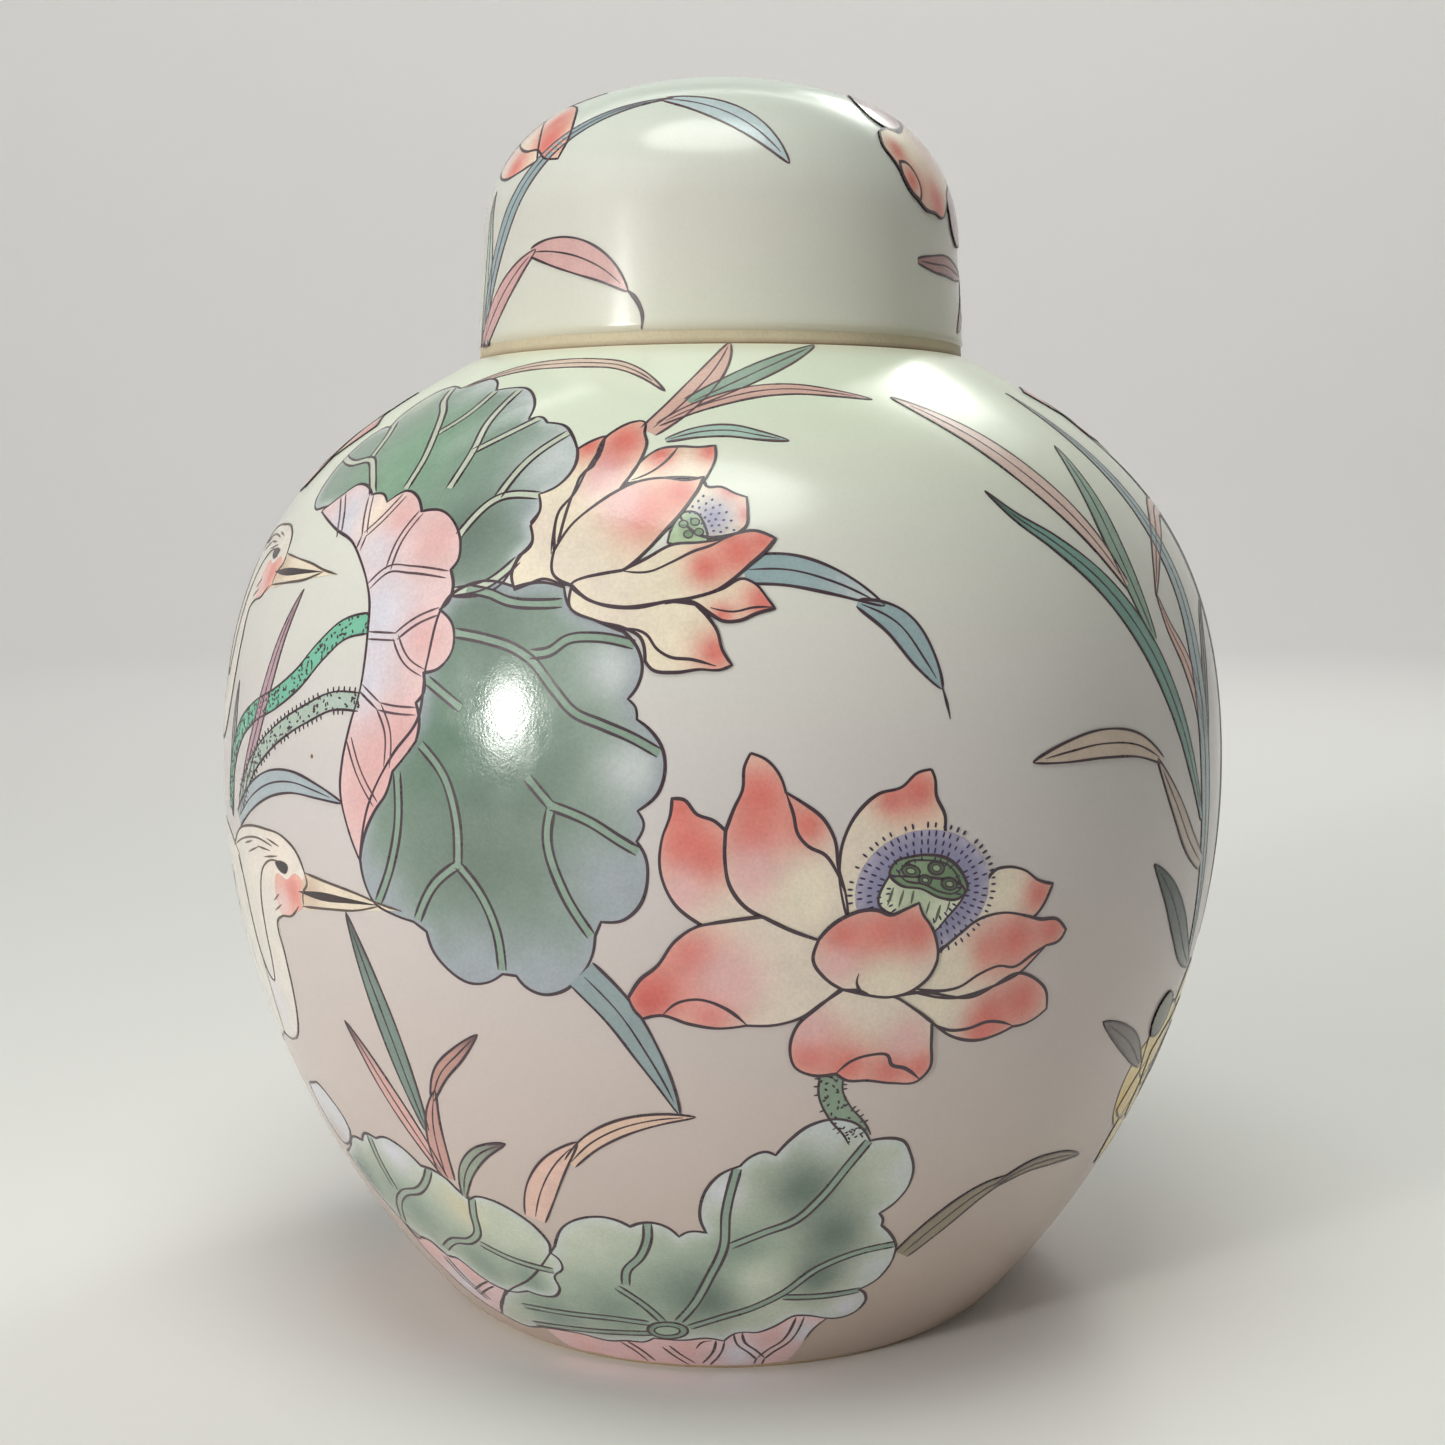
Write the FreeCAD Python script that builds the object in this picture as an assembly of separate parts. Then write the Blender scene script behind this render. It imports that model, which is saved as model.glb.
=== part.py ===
import FreeCAD, Part
import math
import os

# Ginger jar: a full-bellied porcelain jar with a collar, and a domed cap lid that lifts off it.
# Millimetres, +Z up. The origin is the middle of the foot, on the surface that the jar stands on.
# Every piece is turned about Z, so each is drawn as a half section: a distance from the axis
# and a height. The driving sizes are the potted clay's, and each coat of glaze is laid on it.

Vector = FreeCAD.Vector

# Jar, over the clay
belly_radius = 105.4
belly_height = 110.6
foot_radius = 62.0
foot_bare_height = 1.5
shoulder_rise = 85.4
jar_wall = 5.0
base_thickness = 6.0

# How full the jar's side is: the length of each handle of its curves, and its slope at both ends
flank_handle_belly = 44.8
flank_handle_foot = 32.1
flank_slope = 47.3
shoulder_handle_belly = 50.9
shoulder_handle_seat = 36.2
shoulder_slope = 27.7

# Foot ring, and the recess under the base inside it
foot_ring_width = 5.0
foot_edge_rounding = 0.4
foot_recess = 4.0
foot_recess_fillet = 2.0

# Lid, over the clay. Its height is from its rim to its crown.
lid_radius = 51.2
lid_height = 57.6
lid_wall = 4.5
lid_lean = 3.8
lid_corner_radius = 29.0
lid_crown_radius = 84.8
lid_bare_band = 3.0
lid_rim_rounding = 0.8

# Collar that the lid goes over, and the seat round it that the lid stands on. The collar's lip
# ends a little below the height at which the inside of the lid starts to round over.
collar_wall = 4.8
collar_clearance = 1.0
lip_below_corner = 1.3
lip_rounding = 1.2
seat_margin = 0.9

# Rounding inside the jar
floor_fillet = 12.0
collar_root_fillet = 2.5

# Coats of glaze. The collar is bare inside and out, and so is the bottom of the foot ring.
glaze = 0.4
recess_glaze_stop = 1.0

# How many spans a curve is measured at when it is moved outwards or inwards
curve_steps = 24

# How near an edge must be to the place that names it
same_place = 1e-3


def at(radius, height):
    return Vector(radius, 0, height)


def line(start, end):
    return Part.makeLine(start, end)


def direction(degrees):
    """A unit vector in the half section, that many degrees above straight out."""
    angle = math.radians(degrees)
    return Vector(math.cos(angle), 0, math.sin(angle))


def turned(edges):
    """The solid made by turning a closed half section about the axis."""
    face = Part.Face(Part.Wire(Part.sortEdges(edges)[0]))
    solid = face.revolve(Vector(0, 0, 0), Vector(0, 0, 1), 360)
    return solid if solid.Volume > 0 else solid.reversed()


def disc(radius, low, high):
    return Part.makeCylinder(radius, high - low, Vector(0, 0, low))


# Places on the jar that follow from the driving sizes
seat_height = belly_height + shoulder_rise
foot_ring_radius = foot_radius - foot_bare_height / math.tan(math.radians(flank_slope))
recess_radius = foot_ring_radius - foot_ring_width
floor_height = foot_recess + base_thickness
foot_point = at(foot_radius, foot_bare_height)
belly_point = at(belly_radius, belly_height)
seat_point = at(lid_radius + seat_margin, seat_height)

# The lid's section is a leaning wall, a corner arc and a crown arc, each tangent to the next. The
# corner's centre lies along the wall, where its arc just touches the crown's from inside.
wall_out = direction(lid_lean)
wall_up = direction(lid_lean + 90)
lid_rim = at(lid_radius, seat_height)
crown_centre = at(0, seat_height + lid_height - lid_crown_radius)
centres_apart = lid_crown_radius - lid_corner_radius
lowest_centre = lid_rim - wall_out * lid_corner_radius
from_crown = lowest_centre - crown_centre
along_wall = from_crown.dot(wall_up)
rise = math.sqrt(along_wall**2 - from_crown.dot(from_crown) + centres_apart**2) - along_wall
corner_centre = lowest_centre + wall_up * rise
crown_edge_out = (corner_centre - crown_centre).normalize()

# The collar leans as the lid's wall does, so that the gap round it is even.
lid_slope = math.tan(math.radians(lid_lean))
lid_inside_radius = lid_radius - (lid_wall + glaze) / math.cos(math.radians(lid_lean))
collar_radius = lid_inside_radius - collar_clearance
inside_corner = corner_centre + wall_out * (lid_corner_radius - lid_wall - glaze)
lip_height = inside_corner.z - lip_below_corner
lip_radius = collar_radius - (lip_height - seat_height) * lid_slope
bore_radius = collar_radius - collar_wall


def bezier(*poles):
    curve = Part.BezierCurve()
    curve.setPoles(list(poles))
    return curve


flank = bezier(
    foot_point,
    foot_point + direction(flank_slope) * flank_handle_foot,
    belly_point - Vector(0, 0, flank_handle_belly),
    belly_point,
)
shoulder = bezier(
    belly_point,
    belly_point + Vector(0, 0, shoulder_handle_belly),
    seat_point + direction(-shoulder_slope) * shoulder_handle_seat,
    seat_point,
)


def parallel(curve, distance):
    """The curve moved outwards by a distance, as an edge. It runs upwards, as the curve does."""
    points, tangents = [], []
    for step in range(curve_steps + 1):
        t = step / curve_steps
        along = curve.tangent(t)[0]
        outwards = Vector(along.z, 0, -along.x)
        points.append(curve.value(t) + outwards * distance)
        tangents.append(along)
    spline = Part.BSplineCurve()
    spline.interpolate(Points=points, InitialTangent=tangents[0], FinalTangent=tangents[-1])
    return spline.toShape()


def side(distance):
    """The jar's side from foot to seat, moved outwards by a distance."""
    if distance == 0:
        return [flank.toShape(), shoulder.toShape()]
    return [parallel(flank, distance), parallel(shoulder, distance)]


def lid_section(distance, start_height):
    """The lid's section from its wall to the axis, moved outwards by a distance."""
    corner_radius = lid_corner_radius + distance
    crown_radius = lid_crown_radius + distance
    start = lid_rim + wall_out * distance + wall_up * start_height
    wall_top = corner_centre + wall_out * corner_radius
    corner_middle = corner_centre + (wall_out + crown_edge_out).normalize() * corner_radius
    crown_edge = corner_centre + crown_edge_out * corner_radius
    crown_middle = crown_centre + (crown_edge_out + Vector(0, 0, 1)).normalize() * crown_radius
    crown_top = crown_centre + Vector(0, 0, crown_radius)
    return [
        line(start, wall_top),
        Part.Arc(wall_top, corner_middle, crown_edge).toShape(),
        Part.Arc(crown_edge, crown_middle, crown_top).toShape(),
    ]


def ends(section):
    first, last = section[0], section[-1]
    return first.valueAt(first.FirstParameter), last.valueAt(last.LastParameter)


def between(inner, outer):
    """The solid between two sections that run the same way. Both may end on the axis."""
    caps = [line(a, b) for a, b in zip(ends(inner), ends(outer))]
    return turned(inner + outer + caps)


def rings(solid):
    """The solid's edges that run level right round the axis, each with its radius and height."""
    for edge in solid.Edges:
        point = edge.Vertexes[0].Point
        if edge.isClosed() and edge.BoundBox.ZLength < same_place:
            yield edge, (math.hypot(point.x, point.y), point.z)


def rounded_rings(solid, radius, places):
    """The solid with its ring edges at these places, each (radius, height), rounded."""
    chosen = [
        edge
        for edge, here in rings(solid)
        if any(math.dist(here, place) < same_place for place in places)
    ]
    return solid.makeFillet(radius, chosen)


def cavity(coat):
    """The space inside the jar, less a coat of glaze of this thickness on all its walls."""
    walls = side(-jar_wall - coat)
    low, high = ends(walls)
    low_axis, high_axis = at(0, low.z), at(0, high.z)
    caps = [line(low_axis, low), line(high, high_axis), line(high_axis, low_axis)]
    floor = floor_height + coat
    hollow = turned(walls + caps).common(disc(belly_radius, floor, high.z))
    floor_ring = min((here for _, here in rings(hollow)), key=lambda here: here[1])
    hollow = rounded_rings(hollow, floor_fillet - coat, [floor_ring])
    bore = disc(bore_radius - coat, belly_height, lip_height + lip_rounding)
    hollow = hollow.fuse(bore).removeSplitter()
    return rounded_rings(hollow, collar_root_fillet + coat, [(bore_radius - coat, high.z)])


def recess(coat):
    """The hollow under the base, inside the foot ring, less a coat of glaze on its walls."""
    radius = recess_radius - coat
    top = foot_recess - coat
    hollow = disc(radius, -foot_recess, top)
    return rounded_rings(hollow, foot_recess_fillet - coat, [(radius, top)])


def jar_clay():
    """The potted jar: its side, seat, collar, foot ring and hollows."""
    outline = [
        at(0, 0),
        at(foot_ring_radius, 0),
        foot_point,
    ]
    collar_outline = [
        seat_point,
        at(collar_radius, seat_height),
        at(lip_radius, lip_height),
        at(0, lip_height),
        at(0, 0),
    ]
    straight = [line(a, b) for run in (outline, collar_outline) for a, b in zip(run, run[1:])]
    clay = turned(straight + side(0)).cut(cavity(0)).cut(recess(0))
    clay = rounded_rings(clay, lip_rounding, [(lip_radius, lip_height), (bore_radius, lip_height)])
    return rounded_rings(clay, foot_edge_rounding, [(foot_ring_radius, 0), (recess_radius, 0)])


def jar_inner_coat():
    """The glaze inside the jar, which ends where the collar's root starts to round."""
    bare_root = disc(bore_radius + collar_root_fillet, belly_height, lip_height + lip_rounding)
    return cavity(0).cut(cavity(glaze)).cut(bare_root)


def recess_coat():
    return recess(0).cut(recess(glaze)).common(disc(foot_radius, recess_glaze_stop, foot_recess))


def lid_clay():
    """The potted lid. Its wall's inside starts lower along the lean, so that the rim is level."""
    clay = between(lid_section(-lid_wall, lid_wall * lid_slope), lid_section(0, 0))
    inside_radius = lid_radius - lid_wall / math.cos(math.radians(lid_lean))
    rims = [(lid_radius, seat_height), (inside_radius, seat_height)]
    return rounded_rings(clay, lid_rim_rounding, rims)


def lid_coat(low, high):
    """A coat of glaze on the lid, between two distances from the outside of its clay."""
    return between(lid_section(low, lid_bare_band), lid_section(high, lid_bare_band))


pieces = {
    "jar_body": jar_clay(),
    "jar_outer_glaze": between(side(0), side(glaze)),
    "jar_inner_glaze": jar_inner_coat(),
    "base_glaze": recess_coat(),
    "lid_body": lid_clay(),
    "lid_outer_glaze": lid_coat(0, glaze),
    "lid_inner_glaze": lid_coat(-lid_wall - glaze, -lid_wall),
}

os.makedirs("parts", exist_ok=True)
for name, piece in pieces.items():
    piece.Solids[0].exportStep(f"parts/{name}.step")
    print(name, "solids", len(piece.Solids), "valid", piece.isValid(), "mm3", round(piece.Volume))
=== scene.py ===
import math

import bpy
import numpy as np
from mathutils import Euler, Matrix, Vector
from mathutils.geometry import delaunay_2d_cdt


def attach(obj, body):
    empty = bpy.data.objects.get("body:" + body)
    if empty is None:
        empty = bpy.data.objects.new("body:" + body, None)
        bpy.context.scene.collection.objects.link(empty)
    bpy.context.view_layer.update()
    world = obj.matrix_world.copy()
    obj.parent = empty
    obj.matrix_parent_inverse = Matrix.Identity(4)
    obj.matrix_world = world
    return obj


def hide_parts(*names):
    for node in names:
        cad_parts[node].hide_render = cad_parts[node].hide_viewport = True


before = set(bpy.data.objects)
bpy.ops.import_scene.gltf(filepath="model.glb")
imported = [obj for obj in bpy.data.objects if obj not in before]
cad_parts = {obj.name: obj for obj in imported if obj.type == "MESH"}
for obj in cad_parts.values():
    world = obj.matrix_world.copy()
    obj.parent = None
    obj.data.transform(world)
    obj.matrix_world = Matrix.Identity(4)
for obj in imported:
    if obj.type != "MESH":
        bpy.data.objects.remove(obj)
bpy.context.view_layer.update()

# A ginger jar with a cap lid, in metres. The painting is written in millimetres, as places on the
# unrolled glaze. On the jar, x goes round the belly from the front and y up the side from the foot.
# On the lid, the dome is laid flat with its crown at 0,0 and its front downwards.

MM = 0.001
ROOT_OF_ENAMEL = -0.02   # how far a shell of enamel reaches into the glaze, mm
FIRST_WASH = 0.04        # how proud the lowest wash stands, mm
NEXT_WASH = 0.015        # how much higher each later wash lies, mm
LINE_OVER_WASH = 0.02    # how much a brush line stands over its wash, mm
LINE_WEIGHT = 0.86       # the brush's own weight: its share of each line's stated width
WASH_GRAIN = 1.4         # spacing of the points inside a wash, mm
BRUSH_STEP = 0.7         # spacing of the points along a brush line, mm
EDGE_MARGIN = 0.2        # the bare edge of a glaze that no enamel crosses, mm
COAT_THICKNESS = 0.4     # depth of the glaze coat over the clay, mm
COAT_ROW = 1.0           # height of one ring of the turned coat, mm
COAT_SIDES = 300         # faces round the turned coat

# ------------------------------------------------------------------ the glazed surfaces


class GlazeSide:
    """The outside of a turned glaze coat: its profile from the lower edge upwards, in millimetres."""

    def __init__(self, node):
        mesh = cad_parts[node].data
        points = np.array([v.co for v in mesh.vertices], float) / MM
        radius, height = np.hypot(points[:, 0], points[:, 1]), points[:, 2]
        order = np.lexsort((radius, height))
        profile = []
        for r, z in zip(radius[order], height[order]):
            while len(profile) > 1 and not self.bulges(profile[-2], profile[-1], (r, z)):
                profile.pop()
            profile.append((r, z))
        profile = np.array(profile)
        steps = np.hypot(*np.diff(profile, axis=0).T)
        self.along = np.concatenate([[0], np.cumsum(steps)])
        self.profile = profile
        self.length = self.along[-1]
        self.girth = profile[:, 0].max()

    @staticmethod
    def bulges(a, b, c):
        return (b[0] - a[0]) * (c[1] - b[1]) - (b[1] - a[1]) * (c[0] - b[0]) > 0

    def on_profile(self, up):
        return np.stack([np.interp(up, self.along, self.profile[:, i]) for i in (0, 1)], -1)

    def turned(self, angle, up, lift=0.0):
        """Places and outward ways at these angles round from the front and distances up the side."""
        reach = 1.2
        run = self.on_profile(up + reach) - self.on_profile(up - reach)
        run /= np.linalg.norm(run, axis=-1, keepdims=True)
        out = np.stack([run[..., 1], -run[..., 0]], -1)
        r, z = np.moveaxis(self.on_profile(up) + out * np.expand_dims(lift, -1), -1, 0)
        place = np.stack([r * np.sin(angle), -r * np.cos(angle), z], -1)
        way = np.stack([out[..., 0] * np.sin(angle), -out[..., 0] * np.cos(angle), out[..., 1]], -1)
        return place, way

    def spread(self, flat):
        """How the unrolled millimetres map to the glaze: the two rates of change at each place."""
        small = 0.05
        ways = []
        for axis in (0, 1):
            shift = np.zeros(2)
            shift[axis] = small
            ways.append((self.lay(flat + shift)[0] - self.lay(flat - shift)[0]) / (2 * small))
        return ways

    def beside(self, flat, distance):
        """The unrolled line that runs this many real millimetres to the left of the given one."""
        flat = self.held(flat)
        rate_x, rate_y = self.spread(flat)
        run = np.gradient(self.lay(flat)[0], axis=0)
        side = np.cross(self.lay(flat)[1], run)
        side /= np.linalg.norm(side, axis=1)[:, None]
        xx, xy, yy = (rate_x ** 2).sum(1), (rate_x * rate_y).sum(1), (rate_y ** 2).sum(1)
        sx, sy = (side * rate_x).sum(1), (side * rate_y).sum(1)
        det = xx * yy - xy * xy
        move = np.stack([(sx * yy - sy * xy) / det, (sy * xx - sx * xy) / det], 1)
        return flat + move * np.reshape(distance, (-1, 1))


class JarSide(GlazeSide):
    body = "jar"

    def held(self, flat):
        """The same places, none past the upper or lower edge of the glaze."""
        return np.stack([flat[:, 0], np.clip(flat[:, 1], EDGE_MARGIN, self.length - EDGE_MARGIN)], 1)

    def lay(self, flat, lift=0.0):
        return self.turned(flat[:, 0] / self.girth, flat[:, 1], lift)


class LidSide(GlazeSide):
    body = "lid"

    def held(self, flat):
        """The same places, none past the lower edge of the glaze."""
        from_crown = np.maximum(np.hypot(flat[:, 0], flat[:, 1]), 1e-6)
        return flat * np.minimum(1, (self.length - EDGE_MARGIN) / from_crown)[:, None]

    def lay(self, flat, lift=0.0):
        from_crown = np.hypot(flat[:, 0], flat[:, 1])
        angle = np.arctan2(flat[:, 0], -flat[:, 1])
        return self.turned(angle, self.length - from_crown, lift)


jar_side = JarSide("jar_outer_glaze")
lid_side = LidSide("lid_outer_glaze")

# ------------------------------------------------------------------ brush work

INK = (70, 54, 62)
SOFT_INK = (96, 74, 80)


def linear(colour):
    """A painter's 0 to 255 colour as linear light."""
    c = np.asarray(colour, float) / 255
    return np.where(c <= 0.04045, c / 12.92, ((c + 0.055) / 1.055) ** 2.4)


def points(text):
    """The places written as "x,y x,y"."""
    return np.array([[float(n) for n in pair.split(",")] for pair in text.split()])


def curve(through, closed=False):
    """A smooth hand-drawn curve through the points, with a point every BRUSH_STEP."""
    p = np.vstack([through, through[:1]]) if closed else np.asarray(through, float)
    gap = np.linalg.norm(np.diff(p, axis=0), axis=1)[:, None]
    slope = np.diff(p, axis=0) / gap
    inner = (slope[:-1] * gap[1:] + slope[1:] * gap[:-1]) / (gap[:-1] + gap[1:])
    if closed:
        seam = (slope[-1:] * gap[0] + slope[:1] * gap[-1]) / (gap[0] + gap[-1])
        heading = np.vstack([seam, inner, seam])
    elif len(p) == 2:
        heading = np.vstack([slope, slope])
    else:
        first, last = 1.5 * slope[:1] - 0.5 * inner[:1], 1.5 * slope[-1:] - 0.5 * inner[-1:]
        heading = np.vstack([first, inner, last])
    drawn = []
    for a, b, start, end, g in zip(p, p[1:], heading, heading[1:], gap):
        parts = max(1, round(float(g[0]) / BRUSH_STEP))
        t = np.arange(parts)[:, None] / parts
        drawn.append(a * (1 + 2 * t) * (1 - t) ** 2 + b * t * t * (3 - 2 * t)
                     + start * g * t * (1 - t) ** 2 + end * g * t * t * (t - 1))
    return np.vstack(drawn + [p[-1:]])


def outline(text):
    """A closed outline. A / stands after each corner; without one the outline is smooth all round."""
    groups = [points(part) for part in text.split("/") if part.strip()]
    if len(groups) == 1 and "/" not in text:
        return curve(groups[0], closed=True)[:-1]
    drawn = []
    for i, group in enumerate(groups):
        end = groups[(i + 1) % len(groups)][:1] if i == len(groups) - 1 else groups[i][-1:]
        stroke = np.vstack([groups[i - 1][-1:], group]) if i else group
        if i == len(groups) - 1:
            stroke = np.vstack([stroke, end]) if np.linalg.norm(stroke[-1] - end[0]) > 1e-6 else stroke
        drawn.append(curve(stroke)[:-1])
    return np.vstack(drawn)


def within(flat, ring):
    """Which of the places lie inside the closed ring."""
    inside = np.zeros(len(flat), bool)
    x, y = flat[:, 0], flat[:, 1]
    for (ax, ay), (bx, by) in zip(ring, np.roll(ring, -1, axis=0)):
        if ay != by:
            crosses = (ay > y) != (by > y)
            inside ^= crosses & (x < (bx - ax) * (y - ay) / (by - ay) + ax)
    return inside


def distance_to(flat, ring):
    """How far each place lies from the ring, by every other one of its close-set points."""
    return np.sqrt(((flat[:, None, :] - ring[None, ::2, :]) ** 2).sum(2).min(1))


class Enamel:
    """Closed shells of enamel on one glaze, gathered into one mesh with a colour at each point."""

    def __init__(self, side):
        self.side = side
        self.places, self.ways, self.colours, self.faces = [], [], [], []
        self.count = 0

    def add(self, places, ways, colours, faces):
        self.places.append(places)
        self.ways.append(ways)
        self.colours.append(colours)
        self.faces += [[self.count + i for i in face] for face in faces]
        self.count += len(places)

    def patch(self, ring, tint, lift):
        """A wash that fills the ring. tint gives the linear colour at each place and its distance in."""
        ring = self.side.held(ring)
        low, high = ring.min(0), ring.max(0)
        grid = np.stack(np.meshgrid(np.arange(low[0], high[0], WASH_GRAIN),
                                    np.arange(low[1], high[1], WASH_GRAIN)), -1).reshape(-1, 2)
        grid[:, 0] += (np.round(grid[:, 1] / WASH_GRAIN) % 2) * WASH_GRAIN / 2
        grid = grid[within(grid, ring)]
        if len(grid):
            grid = grid[distance_to(grid, ring) > WASH_GRAIN * 0.45]
        spots = [Vector(p) for p in np.vstack([ring, grid])]
        made = delaunay_2d_cdt(spots, [], [list(range(len(ring)))], 1, 1e-4)
        flat = np.array([tuple(v) for v in made[0]])
        triangles = [list(face) for face in made[2]]
        used = sorted({i for face in triangles for i in face})
        place_of = {i: n for n, i in enumerate(used)}
        triangles = [[place_of[i] for i in face] for face in triangles]
        flat = flat[used]
        n = len(flat)
        edges = {(a, b) for f in triangles for a, b in zip(f, f[1:] + f[:1])}
        rim = [(a, b) for a, b in edges if (b, a) not in edges]
        faces = triangles + [[n + i for i in reversed(f)] for f in triangles]
        faces += [[b, a, n + a, n + b] for a, b in sorted(rim)]
        top, way = self.side.lay(flat, lift)
        root = self.side.lay(flat, ROOT_OF_ENAMEL)[0]
        colour = tint(flat, distance_to(flat, ring))
        self.add(np.vstack([top, root]), np.vstack([way, way]), np.vstack([colour, colour]), faces)

    def stroke(self, flat, widths, colour, lift, shift=0.0):
        """A brush line along the unrolled points, this many real millimetres wide at each."""
        flat = self.side.held(flat)
        middle, way = self.side.lay(flat, lift)
        root = self.side.lay(flat, ROOT_OF_ENAMEL)[0]
        run = np.gradient(middle, axis=0)
        left = np.cross(way, run)
        left /= np.linalg.norm(left, axis=1)[:, None] + 1e-12
        half = np.reshape(widths, (-1, 1)) / 2
        across = [shift - half, shift + half]
        sections = [middle + left * across[0], middle + left * across[1],
                    root + left * across[1], root + left * across[0]]
        n = len(flat)
        rows = np.stack(sections, 1).reshape(-1, 3)
        faces = []
        for i in range(n - 1):
            a = 4 * i
            faces += [[a + k, a + 4 + k, a + 4 + (k + 1) % 4, a + (k + 1) % 4] for k in range(4)]
        faces += [[0, 1, 2, 3], [4 * n - 1, 4 * n - 2, 4 * n - 3, 4 * n - 4]]
        self.add(rows, np.repeat(way, 4, axis=0), np.repeat(colour[None, :], 4 * n, axis=0), faces)

    def build(self, name, material):
        """The mesh, riding on the body that the glaze belongs to. Nothing is made if nothing was drawn."""
        if not self.count:
            return None
        mesh = bpy.data.meshes.new(name)
        mesh.from_pydata((np.vstack(self.places) * MM).tolist(), [], self.faces)
        colours = np.vstack(self.colours)
        tone = mesh.color_attributes.new("tone", "FLOAT_COLOR", "POINT")
        tone.data.foreach_set("color", np.hstack([colours, np.ones((len(colours), 1))]).ravel())
        mesh.polygons.foreach_set("use_smooth", [True] * len(mesh.polygons))
        mesh.normals_split_custom_set_from_vertices(np.vstack(self.ways).tolist())
        mesh.materials.append(material)
        piece = bpy.data.objects.new(name, mesh)
        bpy.context.scene.collection.objects.link(piece)
        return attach(piece, self.side.body)


def spots_in(ring, spacing, rng):
    """Scattered places inside the ring, about this far apart."""
    low, high = ring.min(0), ring.max(0)
    count = max(1, int((high[0] - low[0]) * (high[1] - low[1]) / spacing ** 2))
    spots = low + rng.random((count, 2)) * (high - low)
    return spots[within(spots, ring)]


class Motif:
    """One painted motif: washes laid one over another, and the brush lines over them."""

    def __init__(self, name, side, seed):
        self.name, self.side = name, side
        self.washes = Enamel(side)
        self.lines = Enamel(side)
        self.rng = np.random.default_rng(seed)
        self.lift = FIRST_WASH

    def wash(self, ring, colour, touches=(), edge=None, ink=INK, line=0.62):
        """Fills the ring. Each touch is a colour, a place and a radius; edge is a colour and a depth."""
        ring = outline(ring) if isinstance(ring, str) else ring
        base = linear(colour)

        def tint(flat, depth):
            mixed = np.repeat(base[None, :], len(flat), axis=0)
            for touch, x, y, radius in touches:
                near = np.exp(-(((flat - (x, y)) ** 2).sum(1) / radius ** 2))[:, None]
                mixed = mixed * (1 - near) + linear(touch) * near
            if edge:
                near = np.exp(-(depth / edge[1]) ** 2)[:, None] * 0.9
                mixed = mixed * (1 - near) + linear(edge[0]) * near
            return mixed

        self.washes.patch(ring, tint, self.lift)
        if line:
            self.line(np.vstack([ring, ring[:1]]), line, ink, taper=0)
        self.lift += NEXT_WASH
        return ring

    def line(self, path, width=0.62, ink=INK, taper=3.5, shift=0.0):
        """A brush line that swells and thins a little, and comes to a point over the taper at its ends."""
        flat = curve(points(path)) if isinstance(path, str) else path
        run = np.concatenate([[0], np.cumsum(np.linalg.norm(np.diff(flat, axis=0), axis=1))])
        swell = 1 + 0.16 * np.sin(run / 4.1 + self.rng.random() * 6) + 0.08 * np.sin(run / 1.7)
        if taper:
            swell *= np.clip(0.3 + np.minimum(run, run[-1] - run) / taper, 0.3, 1)
        widths = width * LINE_WEIGHT * swell
        self.lines.stroke(flat, widths, linear(ink), self.lift + LINE_OVER_WASH, shift)

    def open_lines(self, *paths, width=0.62, ink=INK, taper=3.5):
        for path in paths:
            self.line(path, width, ink, taper)

    def veins(self, *paths, gap=1.5, colour=None, ink=INK, width=0.55):
        """Double-line veins, with their own wash between the two lines where a colour is given."""
        for path in paths:
            flat = curve(points(path))
            if colour:
                self.washes.stroke(flat, np.full(len(flat), gap), linear(colour), self.lift)
            for shift in (-gap / 2, gap / 2):
                self.line(flat, width, ink, taper=2.0, shift=shift)

    def blade(self, spine, width, colour, tip=None, ink=INK, base=0.05, line=0.5):
        """A reed leaf from its root to its point, with a vein. tip is the colour that its point turns."""
        path = curve(points(spine))
        t = np.linspace(0, 1, len(path))
        half = width / 2 * np.sin(np.pi * (base + (1 - base) * t)) ** 0.75
        half[-1] = 0.05
        left, right = self.side.beside(path, half), self.side.beside(path, -half)
        touches = [(tip, *path[-1], width * 1.6)] if tip else []
        self.wash(np.vstack([left, right[::-1]]), colour, touches, line=0)
        self.line(left, line, ink, taper=1.5)
        self.line(right, line, ink, taper=1.5)
        self.line(path[int(len(path) * 0.04):int(len(path) * 0.93)], line * 0.75, ink, taper=5)

    def stalk(self, spine, width, colour, hairs, dots):
        """A water plant's stalk, dotted inside and hairy along both edges."""
        path = curve(points(spine))
        left, right = self.side.beside(path, width / 2), self.side.beside(path, -width / 2)
        ring = self.wash(np.vstack([left, right[::-1]]), colour, line=0)
        self.line(left, 0.45, taper=2)
        self.line(right, 0.45, taper=2)
        for spot in spots_in(ring, dots, self.rng):
            self.dash(spot, self.rng.uniform(0, math.pi), 0.7, 0.4)
        for edge, way in ((left, 1), (right, -1)):
            for i in range(2, len(edge) - 2, 2):
                if self.rng.random() < hairs:
                    out = (edge[i] - path[i]) / (np.linalg.norm(edge[i] - path[i]) + 1e-9)
                    self.dash(edge[i] + out * 0.4, math.atan2(out[1], out[0]), 1.0, 0.28)

    def dash(self, spot, angle, length, width, ink=INK):
        """One short touch of the brush, in the direction of the angle."""
        way = np.array([math.cos(angle), math.sin(angle)]) * length / 2
        flat = np.array([spot - way, spot, spot + way])
        self.lines.stroke(flat, np.array([0.6, 1, 0.6]) * width, linear(ink), self.lift + LINE_OVER_WASH)

    def finish(self):
        self.washes.build(self.name + "_wash", enamel_wash)
        self.lines.build(self.name + "_lines", enamel_line)


# ------------------------------------------------------------------ shader groups and finishes


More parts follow.
